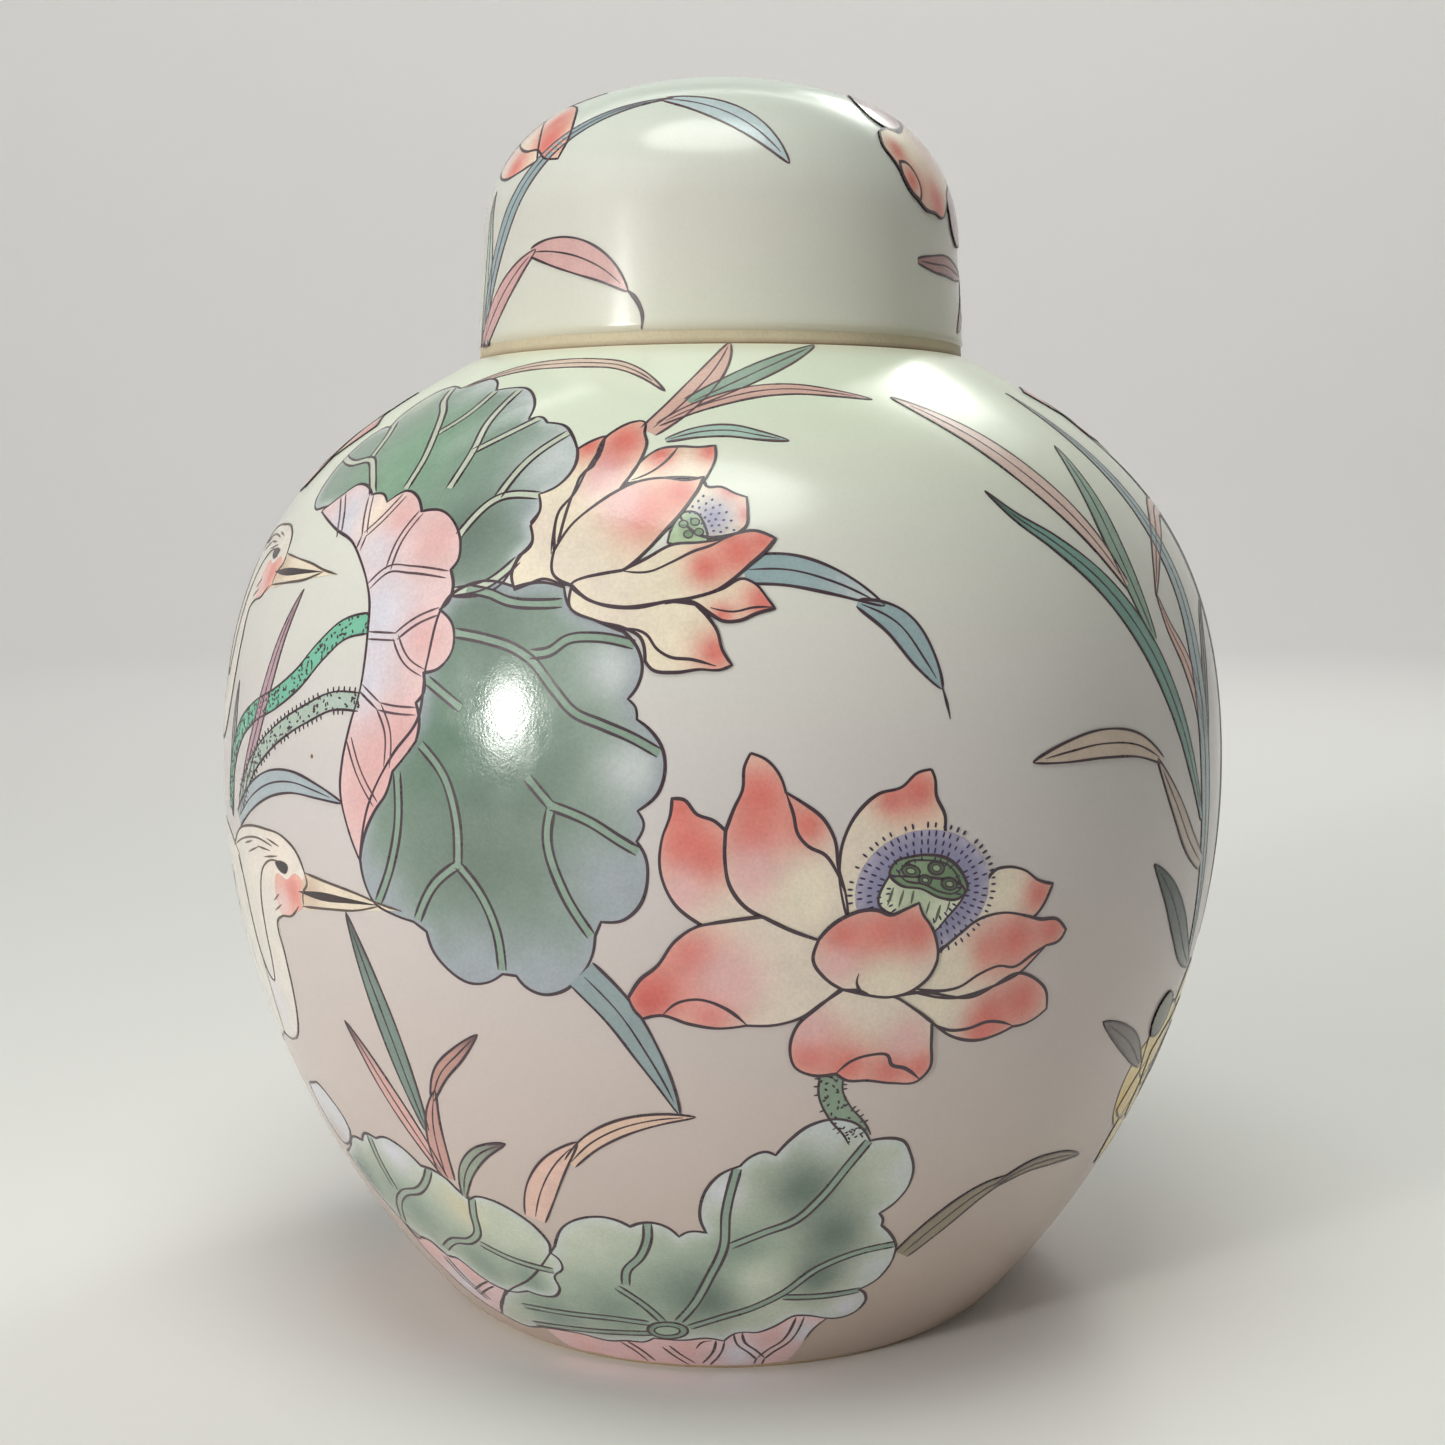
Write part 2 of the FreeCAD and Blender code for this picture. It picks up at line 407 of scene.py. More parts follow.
def group(name, inputs, outputs):
    """A shader group with these named number or colour inputs, and its input and output nodes."""
    tree = bpy.data.node_groups.new(name, "ShaderNodeTree")
    for label, kind, value in inputs:
        socket = tree.interface.new_socket(label, in_out="INPUT", socket_type=kind)
        socket.default_value = value
    for label, kind in outputs:
        tree.interface.new_socket(label, in_out="OUTPUT", socket_type=kind)
    return tree, tree.nodes.new("NodeGroupInput"), tree.nodes.new("NodeGroupOutput")


def node(tree, kind, links=None, **settings):
    """A node with its settings, and its inputs linked or set by name or number."""
    made = tree.nodes.new(kind)
    for key, value in settings.items():
        setattr(made, key, value)
    for key, value in (links or {}).items():
        if isinstance(value, bpy.types.NodeSocket):
            tree.links.new(value, made.inputs[key])
        else:
            made.inputs[key].default_value = value
    return made


def mix_colour(tree, share, first, second, blend="MIX"):
    """The first colour with the second mixed or multiplied in by this share."""
    made = node(tree, "ShaderNodeMix", data_type="RGBA", blend_type=blend)
    for socket, value in zip((made.inputs[0], made.inputs[6], made.inputs[7]), (share, first, second)):
        if isinstance(value, bpy.types.NodeSocket):
            tree.links.new(value, socket)
        else:
            socket.default_value = value
    return made.outputs[2]


def ramp(tree, factor, low, high, from_value, to_value):
    """The factor's range from low to high, stretched to run between the two values."""
    return node(tree, "ShaderNodeMapRange", {"Value": factor, "From Min": low, "From Max": high,
                                             "To Min": from_value, "To Max": to_value}).outputs[0]


def full(colour):
    """A painter's colour as a shader colour."""
    return (*linear(colour), 1.0)


def make_mottle():
    """Cloudy and fine unevenness of a colour, as in brushed enamel or a pooled glaze."""
    tree, given, out = group("mottle", [("Colour", "NodeSocketColor", (1, 1, 1, 1)),
                                        ("Cloud size", "NodeSocketFloat", 120.0),
                                        ("Cloud depth", "NodeSocketFloat", 0.1),
                                        ("Grain size", "NodeSocketFloat", 1500.0),
                                        ("Grain depth", "NodeSocketFloat", 0.05)],
                             [("Colour", "NodeSocketColor"), ("Cloud", "NodeSocketFloat")])
    place = node(tree, "ShaderNodeTexCoord").outputs["Object"]
    cloud = node(tree, "ShaderNodeTexNoise", {"Vector": place, "Scale": given.outputs["Cloud size"],
                                              "Detail": 4.0, "Roughness": 0.6}).outputs[0]
    grain = node(tree, "ShaderNodeTexNoise", {"Vector": place, "Scale": given.outputs["Grain size"],
                                              "Detail": 2.0}).outputs[0]

    def swing(noise, depth):
        centred = node(tree, "ShaderNodeMath", {0: noise, 1: 0.5}, operation="SUBTRACT").outputs[0]
        return node(tree, "ShaderNodeMath", {0: centred, 1: depth}, operation="MULTIPLY").outputs[0]

    both = node(tree, "ShaderNodeMath", {0: swing(cloud, given.outputs["Cloud depth"]),
                                         1: swing(grain, given.outputs["Grain depth"])}).outputs[0]
    gain = node(tree, "ShaderNodeMath", {0: both, 1: 1.0}).outputs[0]
    grey = node(tree, "ShaderNodeCombineColor", {0: gain, 1: gain, 2: gain}).outputs[0]
    colour = mix_colour(tree, 1.0, given.outputs["Colour"], grey, "MULTIPLY")
    tree.links.new(colour, out.inputs["Colour"])
    tree.links.new(cloud, out.inputs["Cloud"])
    return tree


def make_iron_specks():
    """A mask of the few small iron specks that burn through a white glaze."""
    tree, given, out = group("iron_specks", [("Spacing", "NodeSocketFloat", 90.0),
                                             ("Size", "NodeSocketFloat", 0.05)],
                             [("Mask", "NodeSocketFloat")])
    place = node(tree, "ShaderNodeTexCoord").outputs["Object"]
    cells = node(tree, "ShaderNodeTexVoronoi", {"Vector": place, "Scale": given.outputs["Spacing"]})
    pick = node(tree, "ShaderNodeSeparateColor", {0: cells.outputs["Color"]}).outputs[0]
    rare = node(tree, "ShaderNodeMath", {0: pick, 1: 0.93}, operation="GREATER_THAN").outputs[0]
    near = node(tree, "ShaderNodeMath", {0: cells.outputs["Distance"], 1: given.outputs["Size"]},
                operation="LESS_THAN").outputs[0]
    mask = node(tree, "ShaderNodeMath", {0: rare, 1: near}, operation="MULTIPLY").outputs[0]
    tree.links.new(mask, out.inputs["Mask"])
    return tree


def make_peel():
    """The height of the slight waviness and pinholes of a fired glaze."""
    tree, given, out = group("glaze_peel", [("Wave size", "NodeSocketFloat", 160.0),
                                            ("Pinhole size", "NodeSocketFloat", 900.0),
                                            ("Pinhole depth", "NodeSocketFloat", 0.3)],
                             [("Height", "NodeSocketFloat")])
    place = node(tree, "ShaderNodeTexCoord").outputs["Object"]
    wave = node(tree, "ShaderNodeTexNoise", {"Vector": place, "Scale": given.outputs["Wave size"],
                                             "Detail": 2.0}).outputs[0]
    pits = node(tree, "ShaderNodeTexNoise", {"Vector": place, "Scale": given.outputs["Pinhole size"],
                                             "Detail": 1.0}).outputs[0]
    deep = node(tree, "ShaderNodeMath", {0: pits, 1: given.outputs["Pinhole depth"]},
                operation="MULTIPLY").outputs[0]
    height = node(tree, "ShaderNodeMath", {0: wave, 1: deep}).outputs[0]
    tree.links.new(height, out.inputs["Height"])
    return tree


mottle, iron_specks, glaze_peel = make_mottle(), make_iron_specks(), make_peel()


def use(tree, which, **values):
    """One of the shader groups placed in a material, with its inputs linked or set by name."""
    made = tree.nodes.new("ShaderNodeGroup")
    made.node_tree = which
    for key, value in values.items():
        socket = made.inputs[key.replace("_", " ")]
        if isinstance(value, bpy.types.NodeSocket):
            tree.links.new(value, socket)
        else:
            socket.default_value = value
    return made


def finish_of(name, bump, bump_reach, **plain):
    """A new material with its principled shader and bump. Plain values go on the shader's own sockets."""
    material = bpy.data.materials.new(name)
    material.use_nodes = True
    tree = material.node_tree
    shader = tree.nodes["Principled BSDF"]
    for key, value in plain.items():
        shader.inputs[key.replace("_", " ")].default_value = value
    peel = use(tree, glaze_peel, **bump)
    raised = node(tree, "ShaderNodeBump", {"Height": peel.outputs[0], "Strength": 1.0,
                                           "Distance": bump_reach})
    tree.links.new(raised.outputs[0], shader.inputs["Normal"])
    return material, tree, shader


def by_height(tree, stops):
    """A colour that changes with the height above the foot: pairs of metres and colour."""
    height = node(tree, "ShaderNodeSeparateXYZ", {0: node(tree, "ShaderNodeTexCoord").outputs["Object"]})
    top = stops[-1][0]
    share = node(tree, "ShaderNodeMath", {0: height.outputs[2], 1: top}, operation="DIVIDE").outputs[0]
    made = node(tree, "ShaderNodeValToRGB", {0: share})
    band = made.color_ramp
    while len(band.elements) < len(stops):
        band.elements.new(0.5)
    for element, (at, colour) in zip(band.elements, stops):
        element.position = at / top
        element.color = full(colour)
    return made.outputs[0]


# Colours by metres above the foot: warm and darker low down, partly glaze tint and partly painted shade,
# celadon on the shoulder, tan at the lid's rim.
JAR_TINTS_AND_SHADE = [(0.0, (184, 163, 148)), (0.06, (202, 188, 182)), (0.12, (209, 203, 201)),
             (0.16, (217, 217, 208)), (0.185, (223, 231, 210)), (0.194, (223, 231, 210)),
             (0.1985, (205, 198, 174)), (0.2012, (213, 213, 200)), (0.225, (206, 205, 197)),
             (0.254, (214, 225, 214))]
INNER_TINTS = [(0.0, (206, 206, 194)), (0.254, (216, 216, 204))]
# Bare clay by metres above the foot: stained tan at the foot, and a dark ring at the lid's seat that is
# partly kiln stain and partly painted shadow under the lid's rim.
BISCUIT_TINTS_AND_SEAT_SHADOW = [(0.0, (186, 158, 122)), (0.004, (214, 200, 170)), (0.19, (216, 202, 172)),
                 (0.1962, (128, 98, 72)), (0.1972, (202, 190, 160)), (0.204, (214, 202, 176))]
IRON = (120, 96, 74)
ENAMEL_RELIEF = 0.00003  # reach of the enamel's bump, m


def white_glaze(name, height_colours, rough):
    """A soft glossy glaze whose colour changes with height, with a few iron specks. On the outer coat the
    darker, warmer colour low down is partly painted shade.
    """
    material, tree, shader = finish_of(name, {"Wave_size": 150.0, "Pinhole_size": 1100.0,
                                              "Pinhole_depth": 0.12}, 0.00004, IOR=1.5)
    washed = use(tree, mottle, Colour=by_height(tree, height_colours), Cloud_size=22.0, Cloud_depth=0.09,
                 Grain_size=1500.0, Grain_depth=0.07)
    specks = use(tree, iron_specks, Spacing=110.0, Size=0.045)
    colour = mix_colour(tree, specks.outputs[0], washed.outputs[0], full(IRON))
    tree.links.new(colour, shader.inputs["Base Color"])
    tree.links.new(ramp(tree, washed.outputs["Cloud"], 0.3, 0.7, rough - 0.03, rough + 0.04),
                   shader.inputs["Roughness"])
    return material


def enamel(name, rough, cloud, grain):
    """Fired enamel: its colour comes from the painting, cloudy and grained by the brush."""
    material, tree, shader = finish_of(name, {"Wave_size": 420.0, "Pinhole_size": 2200.0,
                                              "Pinhole_depth": 0.6}, ENAMEL_RELIEF, IOR=1.52)
    tone = node(tree, "ShaderNodeVertexColor", layer_name="tone").outputs[0]
    washed = use(tree, mottle, Colour=tone, Cloud_size=170.0, Cloud_depth=cloud,
                 Grain_size=1700.0, Grain_depth=grain)
    tree.links.new(washed.outputs[0], shader.inputs["Base Color"])
    tree.links.new(ramp(tree, washed.outputs["Cloud"], 0.3, 0.7, rough - 0.06, rough + 0.08),
                   shader.inputs["Roughness"])
    return material


def biscuit():
    """Bare fired porcelain: chalky cream, tanned where handling and the kiln have stained the edges. The
    dark ring at the lid's seat is partly that stain and partly painted shadow under the lid's rim.
    """
    material, tree, shader = finish_of("bare_porcelain", {"Wave_size": 500.0, "Pinhole_size": 2600.0,
                                                          "Pinhole_depth": 0.8}, 0.00006, IOR=1.45)
    rough = use(tree, mottle, Colour=by_height(tree, BISCUIT_TINTS_AND_SEAT_SHADOW), Cloud_size=60.0,
                Cloud_depth=0.45, Grain_size=1800.0, Grain_depth=0.25)
    tree.links.new(rough.outputs[0], shader.inputs["Base Color"])
    tree.links.new(ramp(tree, rough.outputs["Cloud"], 0.3, 0.7, 0.5, 0.72), shader.inputs["Roughness"])
    return material


# The outer coat's colour ramp is darker low down: partly glaze tint, partly painted shade.
jar_glaze = white_glaze("celadon_white_glaze", JAR_TINTS_AND_SHADE, 0.19)
inner_glaze = white_glaze("inner_white_glaze", INNER_TINTS, 0.16)
enamel_wash = enamel("enamel_wash", 0.15, 0.26, 0.26)
enamel_line = enamel("enamel_line", 0.3, 0.3, 0.1)
bare = biscuit()

# ------------------------------------------------------------------ the turned pieces


def turned_coat(name, side, stands_for, material):
    """The closed coat of glaze on a turned side, and nothing of the clay."""
    ups = np.linspace(0, side.length, round(side.length / COAT_ROW) + 1)
    capped = side.profile[-1, 0] < 0.01
    if capped:
        ups = ups[:-1]
    outer = side.turned(np.zeros(len(ups)), ups)[0]
    inner = side.turned(np.zeros(len(ups)), ups, -COAT_THICKNESS)[0]
    loop = np.vstack([outer, inner[::-1]])
    sides = COAT_SIDES
    angles = np.linspace(0, 2 * np.pi, sides, endpoint=False)
    radius, height = -loop[:, 1], loop[:, 2]
    rings = np.stack([np.outer(radius, np.sin(angles)), np.outer(radius, -np.cos(angles)),
                      np.outer(height, np.ones(sides))], -1)
    places = rings.reshape(-1, 3)
    rows = len(loop)
    faces = []
    for i in range(rows if not capped else rows - 1):
        if capped and i == len(ups) - 1:
            continue
        a, b = i * sides, (i + 1) % rows * sides
        faces += [[a + k, a + (k + 1) % sides, b + (k + 1) % sides, b + k] for k in range(sides)]
    if capped:
        top = side.profile[-1, 1]
        places = np.vstack([places, [[0, 0, top], [0, 0, top - COAT_THICKNESS]]])
        crown, under = len(places) - 2, len(places) - 1
        a, b = (len(ups) - 1) * sides, len(ups) * sides
        faces += [[a + k, a + (k + 1) % sides, crown] for k in range(sides)]
        faces += [[b + (k + 1) % sides, b + k, under] for k in range(sides)]
        a, b = (rows - 1) * sides, 0
        faces += [[a + k, a + (k + 1) % sides, b + (k + 1) % sides, b + k] for k in range(sides)]
    mesh = bpy.data.meshes.new(name)
    mesh.from_pydata((places * MM).tolist(), [], faces)
    mesh.polygons.foreach_set("use_smooth", [True] * len(mesh.polygons))
    mesh.materials.append(material)
    mesh.set_sharp_from_angle(angle=math.radians(40))
    piece = bpy.data.objects.new(name, mesh)
    bpy.context.scene.collection.objects.link(piece)
    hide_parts(stands_for)
    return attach(piece, side.body)


turned_coat("jar_glaze_coat", jar_side, "jar_outer_glaze", jar_glaze)
turned_coat("lid_glaze_coat", lid_side, "lid_outer_glaze", jar_glaze)

for name, material in (("jar_body", bare), ("lid_body", bare), ("jar_inner_glaze", inner_glaze),
                       ("base_glaze", inner_glaze), ("lid_inner_glaze", inner_glaze)):
    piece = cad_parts[name]
    for spare in range(len(piece.material_slots)):
        piece.material_slots[spare].material = material

# ------------------------------------------------------------------ the painting

LEAF, LEAF_DARK, LEAF_PALE = (134, 154, 140), (106, 122, 112), (194, 202, 184)
LAVENDER, MIST = (162, 169, 176), (198, 204, 204)
CORAL, CORAL_DEEP, CREAM, PETAL = (220, 122, 112), (206, 100, 94), (233, 221, 198), (226, 212, 196)
PINK, BLUSH, SHELL = (224, 178, 176), (228, 198, 196), (214, 212, 222)
REED_GREEN, REED_BLUE, REED_PINK = (142, 166, 150), (150, 170, 174), (214, 176, 164)
REED_DARK, MAUVE, TEAL = (84, 92, 88), (184, 156, 166), (122, 158, 148)
EMERALD, STALK, HUB, HUB_PALE = (120, 186, 160), (136, 156, 136), (130, 152, 138), (160, 180, 160)
SEED, SEED_PALE = (88, 112, 86), (150, 168, 136)
YELLOW = (240, 216, 150)
STAMEN, POD, OCHRE = (142, 140, 170), (110, 136, 104), (226, 188, 96)


def upper_left_leaf():
    """The tall lotus leaf: its upper lobe, its lower lobe and the pink underside turned up between."""
    leaf = Motif("tall_leaf", jar_side, 3)
    leaf.wash("-115,191 -114.5,197 -110,200.5 -106,200.5 / -109,206 -107,212 -101,214.3 -92,213.3 /"
              " -87,215.2 -80,216.2 -75.5,214.6 -71.5,211.4 / -66,212 -60,211.6 -54.5,208.6 -51,204.5"
              " -50,200.8 / -47,201.5 -43.8,199.6 / -38,198.3 -35,195.5 -32.5,192 / -31.8,188 -33,184.5"
              " -37,181.7 / -36.2,178.5 -37.6,175.8 / -36.4,172 -38.5,169.2 / -41,164 -52,162 -62,172"
              " -80,178 -102,179 -106,178.5 -110,180.5 -113,185", LEAF,
              [(LEAF_DARK, -50, 172, 9), (MIST, -37, 190, 9), (MIST, -79, 215, 8), (MIST, -57, 210, 7),
               (LEAF_PALE, -106, 212, 8), ((134, 168, 142), -80, 192, 16), (LAVENDER, -36, 178, 5)],
              edge=(MIST, 1.6))
    leaf.veins("-73.5,183 -74,190 -77,196 -84,204 -92,209 -97,213.5", "-77,197.5 -72,204 -71.4,211",
               "-60.5,183 -60,192 -62,200 -61.8,211", "-60,192 -54,196 -47,201",
               "-47,181 -43,190 -36.5,196.5",
               "-84,182 -90,187 -96,190.5 -105,190 -115,191.6", "-97,191 -100,197 -105,201.5",
               "-53,173 -47,180.6 -37.5,181.2", "-51,162.5 -44,164 -38.5,168.5", colour=LEAF_PALE)
    leaf.wash("-38,163.5 -33,164.4 -28.5,163.5 / -27.2,160.3 -22,157.8 -17,156 / -14.3,153 -13.5,150"
              " -14.2,147 -15.8,144.8 / -14.5,143.5 -14.2,141.5 / -12,139.8 -10,137 -9.5,133 -10.6,129.5"
              " -14,126.5 / -13,124.5 -14.2,121.5 / -12.8,119 -12.5,115 -14,110.5 -17,108 -20.5,107.7 /"
              " -21.6,105.2 / -22.2,102 -24.5,98 -28,95 -32,94.2 -35,95.5 -36.4,97.2 / -39,97.3 /"
              " -42,95.5 -46,95 -50,97 -53,100.5 -53.8,103.5 / -56.5,105 / -61,105.8 -65.5,107.5"
              " -67.5,111 -68.2,114.8 / -66,124 -60,134 -55,140 -54,150 -51,162 -45,164.5", LEAF,
              [(LEAF_DARK, -46, 160, 12), (LEAF_DARK, -42, 121, 16), ((112, 136, 120), -50, 140, 16),
               (LAVENDER, -18, 114, 8), (LAVENDER, -44, 98, 8), (LAVENDER, -30, 97, 8),
               (MIST, -14, 133, 7),
               (MIST, -18, 150, 6), (LAVENDER, -64, 109, 6)], edge=(LAVENDER, 2.2))
    leaf.veins("-49,155.3 -42,154.3 -37,153 -33,150.8 -29,146.5 -25,142.5 -20,140.5 -15,138.5 -10.4,136",
               "-33.5,152 -30,152.5 -27,154.5 -22,155 -15,153.8", "-53.5,147 -46,142.5",
               "-54,136 -49,131 -46.5,124 -46.3,116", "-46.3,116 -51,112.5 -55.5,105.5",
               "-46.3,116 -42,111 -39.5,105 -39,98", "-59,131 -58.8,122 -61,114 -64.4,107.6",
               "-33,131.5 -28.8,127", "-28.8,127 -22,124.5 -17,121.5 -14,119.8",
               "-28.8,126.5 -29.5,122 -27,113 -22.3,105.2",
               "-48,163 -43,162.3 -39,161 -32,160.6 -28.5,160.8",
               colour=(138, 160, 144))
    leaf.wash("-102,178 -97,181.5 -93,184.2 -88,183.8 -84,181.8 / -80,181.9 -77,180 / -73,182.5 -68,181"
              " -65,178 / -60,178.2 -55,175.5 -52,171.5 -51.5,168 -52.5,166.5 / -51,163 -51.5,160.5"
              " -53,159.3 / -49.5,156.5 -49,152 -51.5,149 -54.5,148.2 / -54,145 -55.5,143 / -54.5,140"
              " -55,136.5 / -58,133 -60,131 / -61.5,127 -64,124 -66.5,120 -68.2,114.5 / -71,120 -73,127"
              " -72.5,132 -71,138 -69,145 -68.8,150 -69.5,156 -70.5,160 -73,164 -77,168 -82,171.5"
              " -90,174 -96,176", BLUSH,
              [(SHELL, -67, 158, 9), (SHELL, -68, 146, 7), (SHELL, -88, 176, 8), (SHELL, -73, 172, 6),
               (PINK, -58, 172, 6), (PINK, -55, 154, 5), (PINK, -58, 138, 6), (PINK, -66, 124, 7),
               ((244, 226, 210), -78, 178, 5), (PINK, -70, 177, 5), (PINK, -64, 132, 6)])
    leaf.veins("-72,163 -68,166.3 -62,166.4 -53,165.6", "-69.3,154.2 -62,154.2",
               "-62,154.2 -58,157 -53,159",
               "-62,154.2 -58.5,150 -54.6,148.2", "-69,145 -64,142", "-64,142 -60,141.6 -55.5,141.6",
               "-64,142 -61.6,138 -61.4,131.6", "-71,136 -68,130 -64,125", "-79,169.8 -79,173",
               "-79,173 -76,176 -72.5,181.6", "-79,173 -82,178 -84,181.5", "-88,172.8 -91,177 -96,181.6",
               "-68,166.3 -67.6,172 -65,177.8", gap=1.3, ink=SOFT_INK, width=0.45)
    leaf.finish()


def side_lotus():
    """The lotus seen from the side, with its leafy base, curling leaf and its little seed head."""
    lotus = Motif("side_lotus", jar_side, 5)
    lotus.blade("4,166.6 12,166.6 20,164.4 29,160", 5.6, REED_BLUE, tip=MIST, line=0.6, base=0.3)
    lotus.blade("24,160.6 31,157 35.5,150.5 38.2,145.6", 5.2, REED_BLUE, line=0.6)
    lotus.line("38.2,146 38.9,143 39.3,140.6", 0.6)
    lotus.wash("-32.5,192 -30,194 -27,195.4 / -27.2,189 -29.5,185.8 -30.2,182 -31,172 / -28,164 -33,165"
               " -36,163.8 -38,163 / -39.2,166 -38,169.5 / -36.5,171 -37.5,175 / -36.4,178 -37.7,181.5 /"
               " -34.5,183 -32,186.5 -31.6,189", CREAM, [(CORAL, -30, 193, 4.5), (PETAL, -34, 174, 6)])
    lotus.line("-27.4,190.5 -27.4,188 -29.6,185.6 -30.2,181.5 -32.3,177.5 -32.4,173 -32,169.5", 0.5)
    lotus.wash("-19.5,199.6 -22,199 -24.5,197.4 -27,194.4 -27.4,190.8 / -28.6,187 -30,181.5 -32.2,178"
               " -32.3,174 -31.2,169.5 / -24,176 -20,183.5 -18.3,186.5 -17,190.5 -16.7,193.5 -17.7,196"
               " -18.4,199.2", CREAM, [(CORAL, -22, 194, 7), (CORAL, -24, 188, 4), (PINK, -25, 185, 5)])
    lotus.wash("-19.6,183.6 -17,189 -13.5,191.8 -9,192.4 -5,192.2 -1.3,192.6 / -1.2,189.5 -2.5,186"
               " -3.2,184.6 / -10,185 -16,184.2", CREAM, [(CORAL, -2.5, 191, 3.5), (CORAL, -13, 190, 4)])
    lotus.line("-9.5,192.2 -12,188.5 -15,186 -18.5,184.4", 0.5)
    lotus.wash("-3.6,184.6 -3,183 0,182.8 3,181.3 5,180.6 / 5.1,177.5 4.8,175 3,173.4 / -4,173 -8,177",
               CREAM, [(CORAL, 2, 182.5, 3), (CORAL, 5, 177, 2.4), (STAMEN, -1.5, 176.5, 4.2)])
    for ring in range(5):
        for k in range(7):
            angle = math.radians(8 + 13 * k + 5 * (ring % 2))
            reach = 3.4 + 1.25 * ring
            spot = np.array([-6.0 + reach * math.cos(angle), 172.8 + reach * math.sin(angle)])
            lotus.dash(spot, angle, 0.55, 0.45, (74, 66, 110))
    lotus.wash("-10,171.6 -9.4,174.4 -7,177.6 -5,177.5 -3.2,175 -2.6,172 /", (176, 196, 160),
               [(POD, -6, 175, 2.0)], line=0.45)
    for x, y in ((-7.2, 175.2), (-5.0, 175.6), (-6.2, 173.2), (-4.2, 173.6)):
        lotus.wash(bead(x, y, 0.85, 0.7), POD, line=0.3)
    lotus.wash("-31.5,170 -29,175 -25,179 -21,182 -17,184 -12,184.8 -7,184.2 -3.6,185 / -4.5,182.5"
               " -6,180 -8,177 -11,173.5 -14,170 -18,166.5 -22,165 -27,163.8 / -31,166", CREAM,
               [(CORAL, -15, 178, 7), (CORAL, -8, 181.5, 4.5), (PINK, -20, 180, 5), (PETAL, -27, 168, 6)])
    lotus.wash("-10,160.8 0,163.2 4,165 6,164 8,161.5 9.2,159.8 / 6,159 3,157.8 0,157.8 -2,159 -5,161 /",
               CREAM, [(CORAL, 7, 161, 4), (CORAL, 0, 158.6, 2.5)])
    lotus.line("9,160 5.6,160 2,159.3 -2,160", 0.5)
    lotus.wash("-27,163.8 -24,161.5 -18,160.2 -8,161 -4.6,160.6 / -2.5,158.5 -0.8,156 0,153 1.6,150.4 /"
               " 0,149.7 -4,149.7 -8,149.2 -12,149.8 -13,151 / -14,155 -17,156.6 -22,157.8 -27,160.2",
               CREAM,
               [(CORAL, -1, 152.5, 4), (PETAL, -18, 159, 5)])
    lotus.line("-17,156.6 -13,155.5 -11,153 -9,151.8 -5,151.3 -1,150.2", 0.55)
    lotus.wash("-18,166.5 -14,168.5 -9,171.2 -4,171.6 0,172.2 3,173.3 6,173.8 10,172.3 / 8,170 5,167.5"
               " 2,165 -1,163 -5,161.8 -10,161 -15,160 -20,160.2 -24,161.5 -27,163.4 /", CREAM,
               [(CORAL, 3, 170, 6), (CORAL, 8, 172, 3), (CORAL, -3, 167, 3.5), (PETAL, -20, 163, 6)])
    lotus.line("-18,166.4 -13,166.3 -9,168 -5,170 -2,171 0.5,172.2", 0.5)
    lotus.finish()


def bead(x, y, wide, high, turn=0.0, count=14):
    """A small oval outline."""
    a = np.linspace(0, 2 * np.pi, count, endpoint=False)
    c, s = np.cos(turn), np.sin(turn)
    u, v = wide * np.cos(a), high * np.sin(a)
    return np.stack([x + u * c - v * s, y + u * s + v * c], 1)


